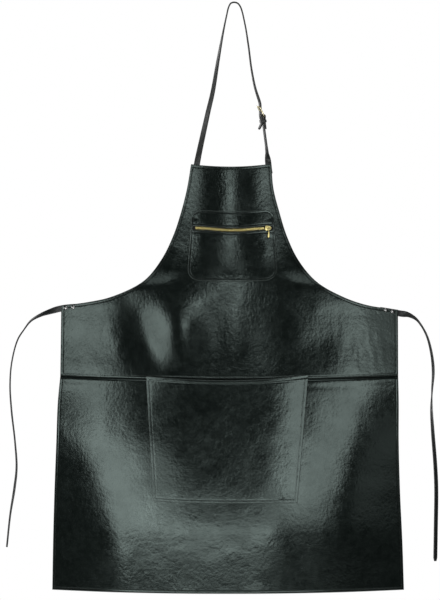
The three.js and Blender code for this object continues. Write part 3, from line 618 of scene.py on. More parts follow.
def bibFront(x, z):
    fromSeam = np.maximum(z - seamLine(x) - body["seamGap"] / 2, 0)
    return bodyFront(x, z) + body["roll"] * np.exp(-fromSeam / body["rollReach"])


def skirtFront(x, z):
    below = seamLine(x) - body["seamGap"] / 2 - z
    lip = body["tuckDeep"] * np.exp(-np.maximum(below, 0) / body["tuckReach"])
    crease = body["creaseDeep"] * patch(x, below, *body["crease"])
    return bodyFront(x, z) + lip + crease + body["tuckLean"] * np.clip(-below, 0, body["leanReach"])


def makeBody():
    gap = body["seamGap"] / 2
    steps = body["rowSteps"]
    top = saggingRow(leftArm[0], rightArm[0], body["bibTopSag"], body["topSteps"])
    seam = saggingRow((seamLeft, gap - seamDown), (seamRight, gap - seamDown), body["seamSag"] - gap, steps)
    bibOutline = np.vstack([leftArm[::-1][:-1], top[:-1], rightArm, seam[::-1]])[::-1]
    bib, bibArea = leatherSheet("bibPanel", bibOutline, bibFront, body["wall"])
    dress(bib, hideLeather, ["bib_panel"])

    downs = np.linspace(seamDown, body["skirtSides"][-1][0], body["sideSteps"])
    leftSide = columns(alongTable(body["skirtSides"], 1, downs), -downs)
    rightSide = columns(alongTable(body["skirtSides"], 2, downs), -downs)
    skirtTop = saggingRow((seamLeft, -seamDown), (seamRight, -seamDown), body["seamSag"], steps)
    fromEnds = np.minimum(skirtTop[:, 0] - seamLeft, seamRight - skirtTop[:, 0])
    skirtTop = skirtTop[fromEnds > body["tuckInset"]] + (0, body["tuck"])
    hem = saggingRow(leftSide[-1], rightSide[-1], body["hemSag"], steps)
    skirtOutline = np.vstack([skirtTop[::-1], leftSide, hem[1:-1], rightSide[::-1]])
    lipX = np.arange(seamLeft + body["lipInset"], seamRight - body["lipInset"], body["lipStep"])
    lipRows = [columns(lipX, seamLine(lipX) - gap - below) for below in body["lipRows"]]
    skirt, skirtArea = leatherSheet("skirtPanel", skirtOutline, skirtFront, body["wall"], lines=lipRows)
    dress(skirt, hideLeather, ["skirt_panel"])
    return bibOutline, skirtOutline


bibOutline, skirtOutline = makeBody()

# zip line across the chest
zipper = {
    "left": -80, "right": 76, "down": 450, "sag": 4.5, "slotHalf": 4.3, "slotRound": 0.6, "tapeHalf": 8,
    "tapeWall": 0.4, "tapePast": 3, "tapeStep": 2.5, "tapeEdge": 2.0, "teethLeft": -77, "teethRight": 61.5,
    "pitch": 2.5, "firstTooth": 0.6, "toothDeep": 2.2, "toothTall": 4.2, "toothLong": 1.12,
    "toothBevel": 0.28, "toothOut": 2.5, "toothShift": 0.75, "probe": 3, "lineSteps": 80,
}


def zipLine(x):
    t = (np.asarray(x, float) - zipper["left"]) / (zipper["right"] - zipper["left"])
    return -zipper["down"] - zipper["sag"] * 0.5 * (1 - np.cos(2 * np.pi * np.clip(t, 0, 1)))


def bandOutline(left, right, half, roundEnds):
    x = np.linspace(left, right, zipper["lineSteps"])
    lower = columns(x, zipLine(x) - half)
    upper = columns(x, zipLine(x) + half)[::-1]
    if not roundEnds:
        return np.vstack([lower, upper])
    turn = np.linspace(-np.pi / 2, np.pi / 2, 9)[1:-1]
    past = half * zipper["slotRound"] * np.cos(turn)
    rightEnd = columns(right + past, zipLine(right) + half * np.sin(turn))
    leftEnd = columns(left - past, zipLine(left) - half * np.sin(turn))
    return np.vstack([lower, rightEnd, upper, leftEnd])


# chest pocket
chest = {
    "topLeft": -84, "topRight": 79.5, "lowLeft": -94, "lowRight": 87, "top": 413.5, "low": 555, "sag": 3,
    "cornerTop": 16, "cornerLow": 24, "cornerSteps": 14, "rowSteps": 60, "wall": 1.4, "seat": 0.3,
    "lift": 0.85, "ramp": 26, "overTape": (4, 14), "puff": 0.8,
    "puffSpot": (-6, -512, 62, 26), "puffRamp": (4, 30),
    "step": 3.2, "edgeStep": 2.2, "loopStep": 3.0,
}


def chestOutline():
    height = chest["low"] - chest["top"]
    angle = np.linspace(0, np.pi / 2, chest["cornerSteps"])
    topDown, topIn = (chest["cornerTop"] * (1 - turn(angle)) for turn in (np.cos, np.sin))
    lowUp, lowIn = (chest["cornerLow"] * (1 - turn(angle[::-1])) for turn in (np.cos, np.sin))
    down = np.concatenate([topDown, height - lowUp])
    inset = np.concatenate([topIn, lowIn])
    left = between(chest["topLeft"], chest["lowLeft"], down / height) + inset
    right = between(chest["topRight"], chest["lowRight"], down / height) - inset
    u = np.linspace(-1, 1, chest["rowSteps"])[1:-1]
    sag = chest["sag"] * (1 - u * u)
    top = columns(between(left[0], right[0], (u + 1) / 2), -chest["top"] - sag)
    low = columns(between(left[-1], right[-1], (u + 1) / 2), -chest["low"] - sag)
    leftLine = columns(left, -chest["top"] - down)
    rightLine = columns(right, -chest["top"] - down)
    return np.vstack([leftLine, low, rightLine[::-1], top[::-1]])


chestLoop = chestOutline()
slotLoop = bandOutline(zipper["left"], zipper["right"], zipper["slotHalf"], True)[::-1]


def chestFront(x, z):
    here = columns(np.asarray(x, float), np.asarray(z, float))
    inside = edgeDistance(here, [evenLoop(chestLoop, chest["loopStep"])])
    near, far = (zipper["tapeHalf"] + past for past in chest["overTape"])
    overTape = 1 - smoothStep(np.abs(z - zipLine(x)), near, far)
    lifted = np.maximum(smoothStep(inside, 0, chest["ramp"]), overTape)
    puff = chest["puff"] * patch(x, z, *chest["puffSpot"]) * smoothStep(inside, *chest["puffRamp"])
    return bodyFront(x, z) - between(chest["seat"], chest["lift"], lifted) - chest["wall"] - puff


def makeChestPocket():
    piece, area = leatherSheet(
        "chestPocket", chestLoop, chestFront, chest["wall"], step=chest["step"], holes=[slotLoop],
        stitchAt=sewing["chestInset"], stitchDent=sewing["chestDent"], edgeStep=chest["edgeStep"])
    dress(piece, hideLeather, ["chest_pocket"])


makeChestPocket()

# waist pocket, open at the top
pocket = {
    "topLeft": -176, "topRight": 149, "lowLeft": -161, "lowRight": 126.5, "leftDown": 746,
    "rightDown": 743.5, "mouthSag": 754, "lowLeftDown": 995, "lowRightDown": 999.5,
    "lowSag": 1000, "seat": 0.5, "wall": 1.4, "lip": 0.7, "lipDeep": 7.0, "lipEdge": (-1.2, 0.6),
    "groove": 0.35, "grooveHalf": 0.9,
    "bulge": [(0, 10), (0.25, 7), (0.5, 4.2), (0.75, 2.2), (1, 0)],  # share down, stands off
    "guessTop": 750, "guessTall": 248, "rounds": 6, "acrossSteps": 120, "downSteps": 80,
}


def pocketSides(v):
    return [between(pocket["top" + side], pocket["low" + side], v) for side in ("Left", "Right")]


def pocketPlace(u, v):
    left, right = pocketSides(v)
    topEnd = np.where(u < 0, pocket["leftDown"], pocket["rightDown"])
    lowEnd = np.where(u < 0, pocket["lowLeftDown"], pocket["lowRightDown"])
    top = between(pocket["mouthSag"], topEnd, u * u)
    low = between(pocket["lowSag"], lowEnd, u * u)
    return between(left, right, (u + 1) / 2), -between(top, low, v)


def pocketMouth(u):
    return pocketPlace(u, np.zeros_like(u))


def pocketShare(x, z):  # where a point lies across and down the pocket
    v = np.clip((-z - pocket["guessTop"]) / pocket["guessTall"], 0, 1)
    for _ in range(pocket["rounds"]):
        left, right = pocketSides(v)
        u = np.clip(2 * (x - left) / (right - left) - 1, -1, 1)
        top = pocketMouth(u)[1]
        low = pocketPlace(u, np.ones_like(u))[1]
        v = np.clip((z - top) / (low - top), 0, 1)
    return u, v


def belowMouth(x, z):
    return pocketMouth(pocketShare(x, z)[0])[1] - z


def pocketFront(x, z):
    u, v = pocketShare(x, z)
    bulge = alongTable(pocket["bulge"], 1, v) * (1 - np.abs(u) ** 3)
    past = pocketMouth(u)[1] - z - pocket["lipDeep"]
    lip = pocket["lip"] * (1 - smoothStep(past, *pocket["lipEdge"]))
    groove = pocket["groove"] * np.exp(-((past - sewing["mouthDrop"]) / pocket["grooveHalf"]) ** 2)
    return bodyFront(x, z) - pocket["seat"] - pocket["wall"] - bulge - lip + groove


def pocketOutline():
    u = np.linspace(-1, 1, pocket["acrossSteps"])
    v = np.linspace(0, 1, pocket["downSteps"])
    low = columns(*pocketPlace(u, np.ones_like(u)))
    left = columns(*pocketPlace(-np.ones_like(v), v))
    right = columns(*pocketPlace(np.ones_like(v), v))
    top = columns(*pocketMouth(u))
    return np.vstack([left[:-1], low[:-1], right[::-1][:-1], top[::-1][:-1]])


pocketLoop = pocketOutline()


def makeWaistPocket():
    piece, area = leatherSheet("waistPocket", pocketLoop, pocketFront, pocket["wall"],
                               stitchAt=sewing["pocketInset"], stitchDent=sewing["pocketDent"])
    dress(piece, hideLeather, ["waist_pocket"])


makeWaistPocket()


# geometry node trees

def treeWith(name, sockets):
    tree = bpy.data.node_groups.new(name, "GeometryNodeTree")
    tree.interface.new_socket("Geometry", in_out="INPUT", socket_type="NodeSocketGeometry")
    for label, kind in sockets.items():
        tree.interface.new_socket(label, in_out="INPUT", socket_type="NodeSocket" + kind)
    tree.interface.new_socket("Geometry", in_out="OUTPUT", socket_type="NodeSocketGeometry")
    return tree, node(tree, "NodeGroupInput").outputs


def layCopies(tree, inputs, finish, smooth):  # copies on points, made real and painted
    made = node(tree, "GeometryNodeInstanceOnPoints", inputs).outputs["Instances"]
    made = node(tree, "GeometryNodeRealizeInstances", {"Geometry": made}).outputs["Geometry"]
    if smooth:
        made = node(tree, "GeometryNodeSetShadeSmooth", {"Geometry": made}).outputs["Geometry"]
    made = node(tree, "GeometryNodeSetMaterial", {"Geometry": made, "Material": finish}).outputs["Geometry"]
    node(tree, "NodeGroupOutput", {"Geometry": made})
    return tree


def makeStitchTree():  # thread stitches laid along a line
    tree, given = treeWith("stitchRow", {
        "stitchPitch": "Float", "stitchHalf": "Float", "threadHalf": "Float", "thread": "Material"})
    curve = node(tree, "GeometryNodeMeshToCurve", {"Mesh": given["Geometry"]}).outputs["Curve"]
    spacing = {"Curve": curve, "Length": given["stitchPitch"]}
    spaced = node(tree, "GeometryNodeResampleCurve", spacing, mode="LENGTH")
    tangent = node(tree, "GeometryNodeInputTangent").outputs["Tangent"]
    turn = node(tree, "FunctionNodeAlignRotationToVector", {"Vector": tangent}, axis="Z")
    bead = node(tree, "GeometryNodeMeshUVSphere", {"Segments": 6, "Rings": 5, "Radius": 1.0})
    thick = given["threadHalf"]
    size = node(tree, "ShaderNodeCombineXYZ", {"X": thick, "Y": thick, "Z": given["stitchHalf"]})
    shaped = node(tree, "GeometryNodeTransform", {
        "Geometry": bead.outputs["Mesh"], "Scale": size.outputs["Vector"]})
    return layCopies(tree, {
        "Points": spaced.outputs["Curve"], "Instance": shaped.outputs["Geometry"],
        "Rotation": turn.outputs["Rotation"]}, given["thread"], True)


def makeCopyTree():  # one shape set at marked points
    tree, given = treeWith("markedCopies", {"shape": "Object", "finish": "Material"})
    shape = node(tree, "GeometryNodeObjectInfo", {"Object": given["shape"]}, transform_space="ORIGINAL")
    turn = node(tree, "GeometryNodeInputNamedAttribute", {"Name": "turn"}, data_type="FLOAT_VECTOR")
    facing = node(tree, "FunctionNodeEulerToRotation", {"Euler": turn.outputs["Attribute"]})
    return layCopies(tree, {
        "Points": given["Geometry"], "Instance": shape.outputs["Geometry"],
        "Rotation": facing.outputs["Rotation"]}, given["finish"], False)


def growMesh(name, source, tree, values):  # runs a tree on a carrier mesh, keeps the plain result
    carrier = addObject(name + "Carrier", source)
    modifier = carrier.modifiers.new(name, "NODES")
    modifier.node_group = tree
    sockets = {s.name: s.identifier for s in tree.interface.items_tree if s.in_out == "INPUT"}
    for key, value in values.items():
        modifier[sockets[key]] = value
    graph = bpy.context.evaluated_depsgraph_get()
    mesh = bpy.data.meshes.new_from_object(carrier.evaluated_get(graph))
    bpy.data.objects.remove(carrier)
    mesh.name = name
    return addObject(name, mesh)


stitchTree = makeStitchTree()
copyTree = makeCopyTree()


def setCopies(name, shape, spots, turns, material):  # spots in millimetres, turns as euler angles
    marks = bpy.data.meshes.new(name + "Places")
    marks.from_pydata((np.asarray(spots, float) * mm).tolist(), [], [])
    turn = marks.attributes.new("turn", "FLOAT_VECTOR", "POINT")
    turn.data.foreach_set("vector", np.asarray(turns, np.float32).ravel())
    piece = growMesh(name, marks, copyTree, {"shape": shape, "finish": material})
    bpy.data.objects.remove(shape)
    return piece


def lineMesh(name, lines):  # open lines of points as edges
    corners, edges = [], []
    for line in lines:
        start = len(corners)
        corners += (np.asarray(line, float) * mm).tolist()
        edges += [(start + k, start + k + 1) for k in range(len(line) - 1)]
    mesh = bpy.data.meshes.new(name)
    mesh.from_pydata(corners, edges, [])
    return mesh


def onSurface(x, z, frontAt):
    return columns(x, frontAt(x, z) - sewing["proud"], z)


def stitchLines(loop, inset, frontAt, keep=None, step=sewing["bodyStep"]):  # along a moved-in outline
    loop = evenLoop(loop, step)
    ring = insetLoop(loop, inset)
    good = edgeDistance(ring, [loop]) > inset - sewing["slack"]
    if keep:
        good &= keep(ring[:, 0], ring[:, 1])
    if good.all():
        ring = np.vstack([ring, ring[:1]])
        good = np.ones(len(ring), bool)
    else:
        first = int(np.argmin(good))
        ring, good = np.roll(ring, -first, axis=0), np.roll(good, -first)
    lines = [[]]
    for spot, on in zip(onSurface(ring[:, 0], ring[:, 1], frontAt), good):
        if on:
            lines[-1].append(spot)
        else:
            lines.append([])
    return [line for line in lines if len(line) > sewing["shortest"]]


def makeStitches():
    inset, offSeam = sewing["bodyInset"], sewing["offSeam"]
    bodyLines = stitchLines(bibOutline, inset, bibFront, lambda x, z: z - seamLine(x) > offSeam)
    bodyLines += stitchLines(bibOutline, sewing["seamInset"], bibFront,
                             lambda x, z: z - seamLine(x) < sewing["nearSeam"])
    bodyLines += stitchLines(skirtOutline, inset, skirtFront, lambda x, z: seamLine(x) - z > offSeam)
    patchLines = stitchLines(chestLoop, sewing["chestInset"], chestFront, step=sewing["chestStep"])
    patchLines += stitchLines(slotLoop, sewing["chestInset"], chestFront, step=sewing["slotStep"])
    patchLines += stitchLines(pocketLoop, sewing["pocketInset"], pocketFront,
                              lambda x, z: belowMouth(x, z) > sewing["offMouth"])
    mouthX, mouthZ = pocketMouth(np.linspace(-1, 1, sewing["mouthSteps"]) * sewing["mouthShare"])
    patchLines.append(onSurface(mouthX, mouthZ - pocket["lipDeep"] - sewing["mouthDrop"], pocketFront))
    for part, lines in (("body", bodyLines), ("pocket", patchLines)):
        name = part + "Stitches"
        piece = growMesh(name, lineMesh(name, lines), stitchTree, {
            "stitchPitch": sewing[part + "Pitch"] * mm, "stitchHalf": sewing[part + "Half"] * mm,
            "threadHalf": sewing["thread"] * mm, "thread": waxedThread})
        dress(piece, waxedThread)
        print("stitches:", name, len(piece.data.polygons), "faces")


makeStitches()


# zip

def roundEdges(work, edges, bevel, segments):
    bmesh.ops.bevel(work, geom=edges, offset=bevel * mm, segments=segments, affect="EDGES", profile=0.5)


def bevelledBox(name, size, bevel, segments=1):
    work = bmesh.new()
    bmesh.ops.create_cube(work, size=1.0)
    bmesh.ops.scale(work, vec=Vector(size) * mm, verts=work.verts)
    roundEdges(work, work.edges[:], bevel, segments)
    return meshFrom(work, name)


def makeZip():
    past = zipper["tapePast"]
    outline = bandOutline(zipper["left"] - past, zipper["right"] + past, zipper["tapeHalf"], False)
    behind = chest["seat"] + zipper["tapeWall"]
    tape, _ = leatherSheet("zipTape", outline, lambda x, z: bodyFront(x, z) - behind, zipper["tapeWall"],
                           step=zipper["tapeStep"], stitchDent=0.0, edgeStep=zipper["tapeEdge"])
    dress(tape, wovenTape, ["zip_tape"])
    size = (zipper["toothLong"], zipper["toothDeep"], zipper["toothTall"])
    shape = bpy.data.objects.new("toothShape", bevelledBox("toothShape", size, zipper["toothBevel"]))
    half = zipper["pitch"] / 2
    count = int((zipper["teethRight"] - zipper["teethLeft"]) / half)
    order = np.arange(count)
    x = zipper["teethLeft"] + order * half + zipper["firstTooth"]
    line = zipLine(x)
    z = line + np.where(order % 2 == 0, 1.0, -1.0) * zipper["toothShift"]
    slant = np.arctan(zipLine(x + 0.5) - zipLine(x - 0.5))
    probe = zipper["probe"]
    swing = np.arctan(bodyFront(x + probe, line) - bodyFront(x - probe, line)) / (2 * probe)
    spots = columns(x, bodyFront(x, line) - zipper["toothOut"], z)
    teeth = setCopies("zipTeeth", shape, spots, columns(np.zeros(count), -slant, swing), zipBrass)
    dress(teeth, zipBrass, ["zip_teeth"])
    print("zip:", count, "teeth")


makeZip()


# swept pieces: straps, buckle wire and loops

def flatSection(width, wall, corner=0.9, crown=0.12):  # rounded strap section, across and out
    made = []
    halfWidth, halfWall = width / 2, wall / 2
    corner = min(corner, halfWall * 0.95)
    for sideX, sideY, start in ((1, 1, 0), (-1, 1, 90), (-1, -1, 180), (1, -1, 270)):
        for step in range(5):
            angle = math.radians(start + step * 22.5)
            made.append((sideX * (halfWidth - corner) + corner * math.cos(angle),
                         sideY * (halfWall - corner) + corner * math.sin(angle)))
        if start in (0, 180):
            for share in (0.6, 0.2, -0.2, -0.6):
                made.append((sideX * share * halfWidth, sideY * (halfWall + crown * (1 - share ** 2))))
    return np.array(made)


def roundSection(radius, sides=12):
    angle = np.arange(sides) * 2 * np.pi / sides
    return columns(radius * np.cos(angle), radius * np.sin(angle))


def ringFaces(count, ring, closed=False):  # quads between neighbouring rings of corners
    faces = []
    for k in range(count if closed else count - 1):
        here, ahead = k * ring, (k + 1) % count * ring
        for j in range(ring):
            m = (j + 1) % ring
            faces.append((here + j, here + m, ahead + m, ahead + j))
    return faces


# the side faces of a swept section get a painted edge highlight from this share on
swept = {"uvAround": 30, "edgeHighlightFrom": 0.97}


def sweepPiece(name, points, acrosses, sections, closed=False):  # one across or section may serve all
    points = np.asarray(points, float)
    count, ring = len(points), np.shape(sections)[-2]
    sections = np.broadcast_to(sections, (count, ring, 2))
    ahead = np.gradient(points, axis=0)
    if closed:
        ahead = np.roll(points, -1, axis=0) - np.roll(points, 1, axis=0)
    ahead = unit(ahead)
    acrosses = np.broadcast_to(acrosses, points.shape)
    acrosses = unit(acrosses - ahead * (acrosses * ahead).sum(1)[:, None])
    outs = np.cross(ahead, acrosses)
    corners = points[:, None] + sections[..., :1] * acrosses[:, None] + sections[..., 1:] * outs[:, None]
    faces = ringFaces(count, ring, closed)
    if not closed:
        faces.append(tuple(range(ring))[::-1])
        faces.append(tuple((count - 1) * ring + j for j in range(ring)))
    around = np.arange(ring) / ring * swept["uvAround"]
    uv = columns(np.repeat(lengthsAlong(points), ring), np.tile(around, count)) * mm
    # painted highlight mask on the section's side faces
    sideways = np.abs(sections[..., 0])
    edge = sideways / sideways.max(1)[:, None] > swept["edgeHighlightFrom"]
    piece = meshPiece(name, corners.reshape(-1, 3), faces, uv, {"edgeHighlight": np.where(edge, 1.0, 0.0).ravel()})
    faceOut(piece)
    return piece


strap = {
    "width": 12.5, "wall": 2.8, "tip": 7.0, "tipShare": 0.5, "softSeat": 0.5, "tieSeat": 0.9, "perSpan": 9,
}


def turnedStrap(name, rows):  # rows of x, down, back, turn
    perSpan = strap["perSpan"]
    points = curveThrough([(x, back, -down) for x, down, back, turn in rows], perSpan)
    places = np.arange(len(points)) / perSpan
    turns = np.radians(alongTable([(k, row[3]) for k, row in enumerate(rows)], 1, places))[:, None]
    ahead = unit(np.gradient(points, axis=0))
    flatAcross = unit(np.cross((0, 1, 0), ahead))
    acrosses = flatAcross * np.cos(turns) + np.cross(ahead, flatAcross) * np.sin(turns)
    run = lengthsAlong(points)
    fromTip = np.minimum((run[-1] - run) / strap["tip"], 1)
    share = between(strap["tipShare"], 1, np.sqrt(1 - (1 - fromTip) ** 2))
    sections = [flatSection(strap["width"] * s, strap["wall"]) for s in share]
    piece = sweepPiece(name, points, acrosses, sections)
    print("strap:", name, round(run[-1]), "mm long")
    return piece


def sewnBehind(x, down, gap):  # depth of a strap's middle behind the body panel
    return float(drape(x, -down)) + body["wall"] + gap + strap["wall"] / 2


# buckle axes: out of the strap's face, up the strap, across it
buckle = {
    "bar": (58.5, 14, -226), "up": (-0.114, -0.065, 0.991), "facing": 16, "inside": 13.9, "length": 20,
    "reach": 7.2, "metal": 2.4, "flatter": (1.0, 0.94), "wireSides": 14, "corner": 2.8, "seat": 0.3,
    "prong": 0.9, "prongFrom": 2.6, "prongPast": 3.5, "prongSteps": 24, "taperFrom": 0.8, "taper": 1.6,
    "eyeRadius": 2.05, "eyeArc": (-250, 1, 20), "eyeBand": (2.2, 0.9, 0.4, 0.0),
}
barPlace = np.array(buckle["bar"], float)
buckleUp = np.array(buckle["up"]) / np.linalg.norm(buckle["up"])
facing = math.radians(buckle["facing"])
buckleOut = np.array([-math.cos(facing), -math.sin(facing), 0])
buckleOut = buckleOut - buckleUp * (buckleOut @ buckleUp)
buckleOut /= np.linalg.norm(buckleOut)
buckleAcross = np.cross(buckleOut, buckleUp)


def atBuckle(out, up):
    return barPlace + buckleOut * out + buckleUp * up


longStrap = {
    "sewn": [(-78, 341), (-74.5, 323)],  # x, down behind the bib
    "leave": (-70, 300, -30),  # x, down, turn
    "rows": [  # x, down, back, turn
        (-51.5, 216, 11, -48), (-42.6, 178, 9, -54), (-31.5, 112, 6, -68), (-22.4, 62, 3, -82),
        (-15, 26, 1, -89), (-10.6, 8, 0, -90), (-6.3, 0.6, 0, -90), (0, -1.4, 0, -90), (7, 0.4, 0, -90),
        (13, 8, 0, -90), (21.5, 40, 2, -91), (29, 86, 5, -94), (35, 132, 8, -96), (42.5, 170, 10, -101),
    ],
    "through": [  # out, up from the bar
        (3.9, 27), (4, 20), (4.7, 11), (5.7, 3), (5.6, -2), (4.6, -7), (4.5, -12), (7, -17.5), (12, -25),
    ],
    "buckleTurn": -106,
}


def makeLongStrap():
    rows = []
    for x, down in longStrap["sewn"]:
        turn = math.degrees(math.atan(slopeAcross(x, -down)))
        rows.append((x, down, sewnBehind(x, down, strap["softSeat"]), turn))
    x, down, turn = longStrap["leave"]
    rows.append((x, down, rows[-1][2], turn))
    rows += longStrap["rows"]
    for out, up in longStrap["through"]:
        spot = atBuckle(out, up)
        rows.append((spot[0], -spot[2], spot[1], longStrap["buckleTurn"]))
    dress(turnedStrap("neckStrapLong", rows), strapLeather, ["neck_strap_long"])


makeLongStrap()

shortStrap = {
    "wall": 2.4, "fold": 2.75, "foldArc": (190, -11, -20), "perSpan": 6,
    "inner": [(-1.3, -26), (-1.3, -14), (-1.5, -8), (-2.3, -3.6)],  # out, up, hidden layer first
    "outer": [(2.3, -3.6), (1.5, -8), (1.3, -14), (1.3, -25)],
    "low": [  # x, down, back, across angle
        (64.5, 284, 18, -73), (66.4, 300, 20.6, -64), (67.9, 313, 23, -22),
    ],
    "sewn": [(69.9, 330), (71.5, 341)],
}


def makeShortStrap():
    arc = np.radians(np.arange(*shortStrap["foldArc"]))
    fold = shortStrap["fold"] * columns(np.cos(arc), np.sin(arc))
    spots = [atBuckle(out, up) for out, up in [*shortStrap["inner"], *fold, *shortStrap["outer"]]]
    acrosses = [-buckleAcross] * len(spots)
    low = [(x, down, back, math.radians(angle)) for x, down, back, angle in shortStrap["low"]]
    low += [(x, down, sewnBehind(x, down, strap["softSeat"]), math.atan(slopeAcross(x, -down)))
            for x, down in shortStrap["sewn"]]
    for x, down, back, angle in low:
        spots.append(np.array([x, back, -down]))
        acrosses.append(np.array([math.cos(angle), math.sin(angle), 0]))
    points = curveThrough(spots, shortStrap["perSpan"])
    places = np.arange(len(points)) / shortStrap["perSpan"]
    wide = columns(*(np.interp(places, np.arange(len(spots)), side) for side in np.transpose(acrosses)))
    piece = sweepPiece("neckStrapShort", points, wide, flatSection(strap["width"], shortStrap["wall"]))
    dress(piece, strapLeather, ["neck_strap_short"])


makeShortStrap()

ties = {
    "leftSewn": [(-311, 607.5), (-328, 608.6), (-341, 610), (-353, 612.4)],  # x, down
    "leftFree": [  # x, down, back, turn
        (-370, 617.4, 51, 40), (-388, 624, 55, 64), (-408, 636, 57, 80), (-422, 654, 58, 88),
        (-434.4, 674, 58, 90), (-446, 718, 57, 88), (-449.6, 764, 56, 86), (-446.6, 816, 55, 84),
        (-439.8, 876, 54, 84), (-436.4, 930, 54, 80), (-441, 974, 54, 76), (-449, 1024, 54, 82),
        (-456, 1090, 54, 84),
    ],
    "rightSewn": [(293, 614.2), (311, 617), (324, 619.4), (335, 621.3)],
    "rightFree": [
        (349, 623.5, 45, 44), (365, 632, 49, 74), (376, 645, 51, 84), (388, 668, 52, 82),
        (397, 704, 51, 76), (400, 738, 50, 74), (397.5, 778, 49, 88), (396.5, 812, 49, 106),
        (399, 858, 49, 117), (404, 924, 49, 121), (406, 972, 49, 123),
        (405, 1056, 48, 123), (404, 1118, 48, 122),
    ],
}


def makeTies():
    for side, lean in (("left", 1), ("right", -1)):
        rows = []
        for x, down in ties[side + "Sewn"]:
            turn = lean * math.degrees(math.atan(slopeUp(x, -down)))
            rows.append((x, down, sewnBehind(x, down, strap["tieSeat"]), turn))
        piece = turnedStrap("waistTie" + side.capitalize(), rows + ties[side + "Free"])
        dress(piece, strapLeather, ["waist_tie_" + side])


makeTies()


def roundedLoop(halfWide, low, high, corner, perCorner=8):  # closed outline, counter-clockwise
    made = []
    for sideX, level, start in ((1, low, -90), (1, high, 0), (-1, high, 90), (-1, low, 180)):
        middleX = sideX * (halfWide - corner)
        middleY = level + corner if level == low else level - corner
        for k in range(perCorner + 1):
            angle = math.radians(start + 90 * k / perCorner)
            made.append((middleX + corner * math.cos(angle), middleY + corner * math.sin(angle)))
    return evenLoop(made, 1.0)


def makeBuckle():
    wireHalf = buckle["metal"] / 2
    tilt = math.atan2(buckle["reach"], buckle["length"])
    frameUp = buckleUp * math.cos(tilt) + buckleOut * math.sin(tilt)
    frameOut = buckleOut * math.cos(tilt) - buckleUp * math.sin(tilt)
    frameLength = math.hypot(buckle["reach"], buckle["length"])
    loop = roundedLoop(buckle["inside"] / 2 + wireHalf, 0, frameLength, buckle["corner"])
    points = barPlace + loop[:, :1] * buckleAcross + loop[:, 1:] * frameUp
    wire = roundSection(wireHalf, buckle["wireSides"]) * buckle["flatter"]
    wireFrame = sweepPiece("buckleFrame", points, frameOut, wire, True)
    dress(wireFrame, buckleGold, ["buckle_frame"])

    tipSpot = frameUp * frameLength + frameOut * (wireHalf + buckle["seat"] + buckle["prong"])
    reach = np.linalg.norm(tipSpot)
    along = tipSpot / reach
    arc = np.radians(np.arange(*buckle["eyeArc"]))[:, None]
    ring = np.cos(arc) * -np.cross(along, buckleAcross) + np.sin(arc) * along
    eyeSpots = barPlace + buckle["eyeRadius"] * ring
    eye = sweepPiece("prongEye", eyeSpots, buckleAcross, flatSection(*buckle["eyeBand"]))
    steps = buckle["prongSteps"]
    runs = np.linspace(buckle["prongFrom"], reach + buckle["prongPast"], steps)[:, None]
    sizes = 1 - buckle["taper"] * np.maximum(np.linspace(0, 1, steps) - buckle["taperFrom"], 0)
    taper = [roundSection(buckle["prong"] * size) for size in sizes]
    rod = sweepPiece("prongRod", barPlace + along * runs, buckleAcross, taper)
    dress(rod, buckleGold, ["buckle_prong"])
    dress(eye, buckleGold)


makeBuckle()

keeper = {"low": 12.5, "high": 7, "wall": 1.2, "back": 2.9, "front": 6.2, "half": 6.7, "corner": 1.6,
          "perCorner": 5, "edge": 0.45, "crown": 0.05}


def makeKeeper():
    out = keeper["wall"] / 2
    loop = roundedLoop(keeper["half"] + out, -keeper["back"] - out, keeper["front"] + out, keeper["corner"],
                       keeper["perCorner"])
    middle = barPlace - buckleUp * (keeper["low"] + keeper["high"]) / 2
    points = middle + loop[:, :1] * buckleAcross + loop[:, 1:] * buckleOut
    band = flatSection(keeper["low"] - keeper["high"], keeper["wall"], keeper["edge"], keeper["crown"])
    piece = sweepPiece("strapKeeper", points, buckleUp, band, True)
    dress(piece, strapLeather, ["strap_keeper"])


makeKeeper()
print("straps, buckle and keeper made")

# rivets at the waist corners
rivets = {
    "places": [(-337.5, 610), (-322.5, 608.4), (304.5, 614), (318, 617)],  # x, down
    "profile": [  # radius, height above the panel
        (0, -6.9), (3.0, -6.9), (3.4, -6.5), (3.4, -5.9), (1.2, -5.8), (1.2, 0.25), (3.9, 0.25),
        (4.2, 0.45), (4.15, 0.8), (3.8, 1.3), (3.1, 1.8), (2.2, 2.15), (1.1, 2.4), (0, 2.5),
    ],
    "sides": 28,
}


def makeRivets():
    sides = rivets["sides"]
    lowEnd, *rings, highEnd = rivets["profile"]
    corners = [(*spot, height) for radius, height in rings for spot in roundSection(radius, sides)]
    faces = ringFaces(len(rings), sides)
    lowest, highest = len(corners), len(corners) + 1
    corners += [(0, 0, lowEnd[1]), (0, 0, highEnd[1])]
    last = (len(rings) - 1) * sides
    for j in range(sides):
        m = (j + 1) % sides
        faces += [(lowest, m, j), (highest, last + j, last + m)]
    shape = meshPiece("rivetShape", corners, faces)
    faceOut(shape)
    spots, turns = [], []
    for x, down in rivets["places"]:
        out = Vector((slopeAcross(x, -down), -1, slopeUp(x, -down))).normalized()
        spots.append((x, float(drape(x, -down)), -down))
        turns.append(tuple(out.to_track_quat("Z", "Y").to_euler()))
    dress(setCopies("waistRivets", shape, spots, turns, rivetBlack), rivetBlack,
          ["rivet_left_outer", "rivet_left_inner", "rivet_right_inner", "rivet_right_outer"])


makeRivets()

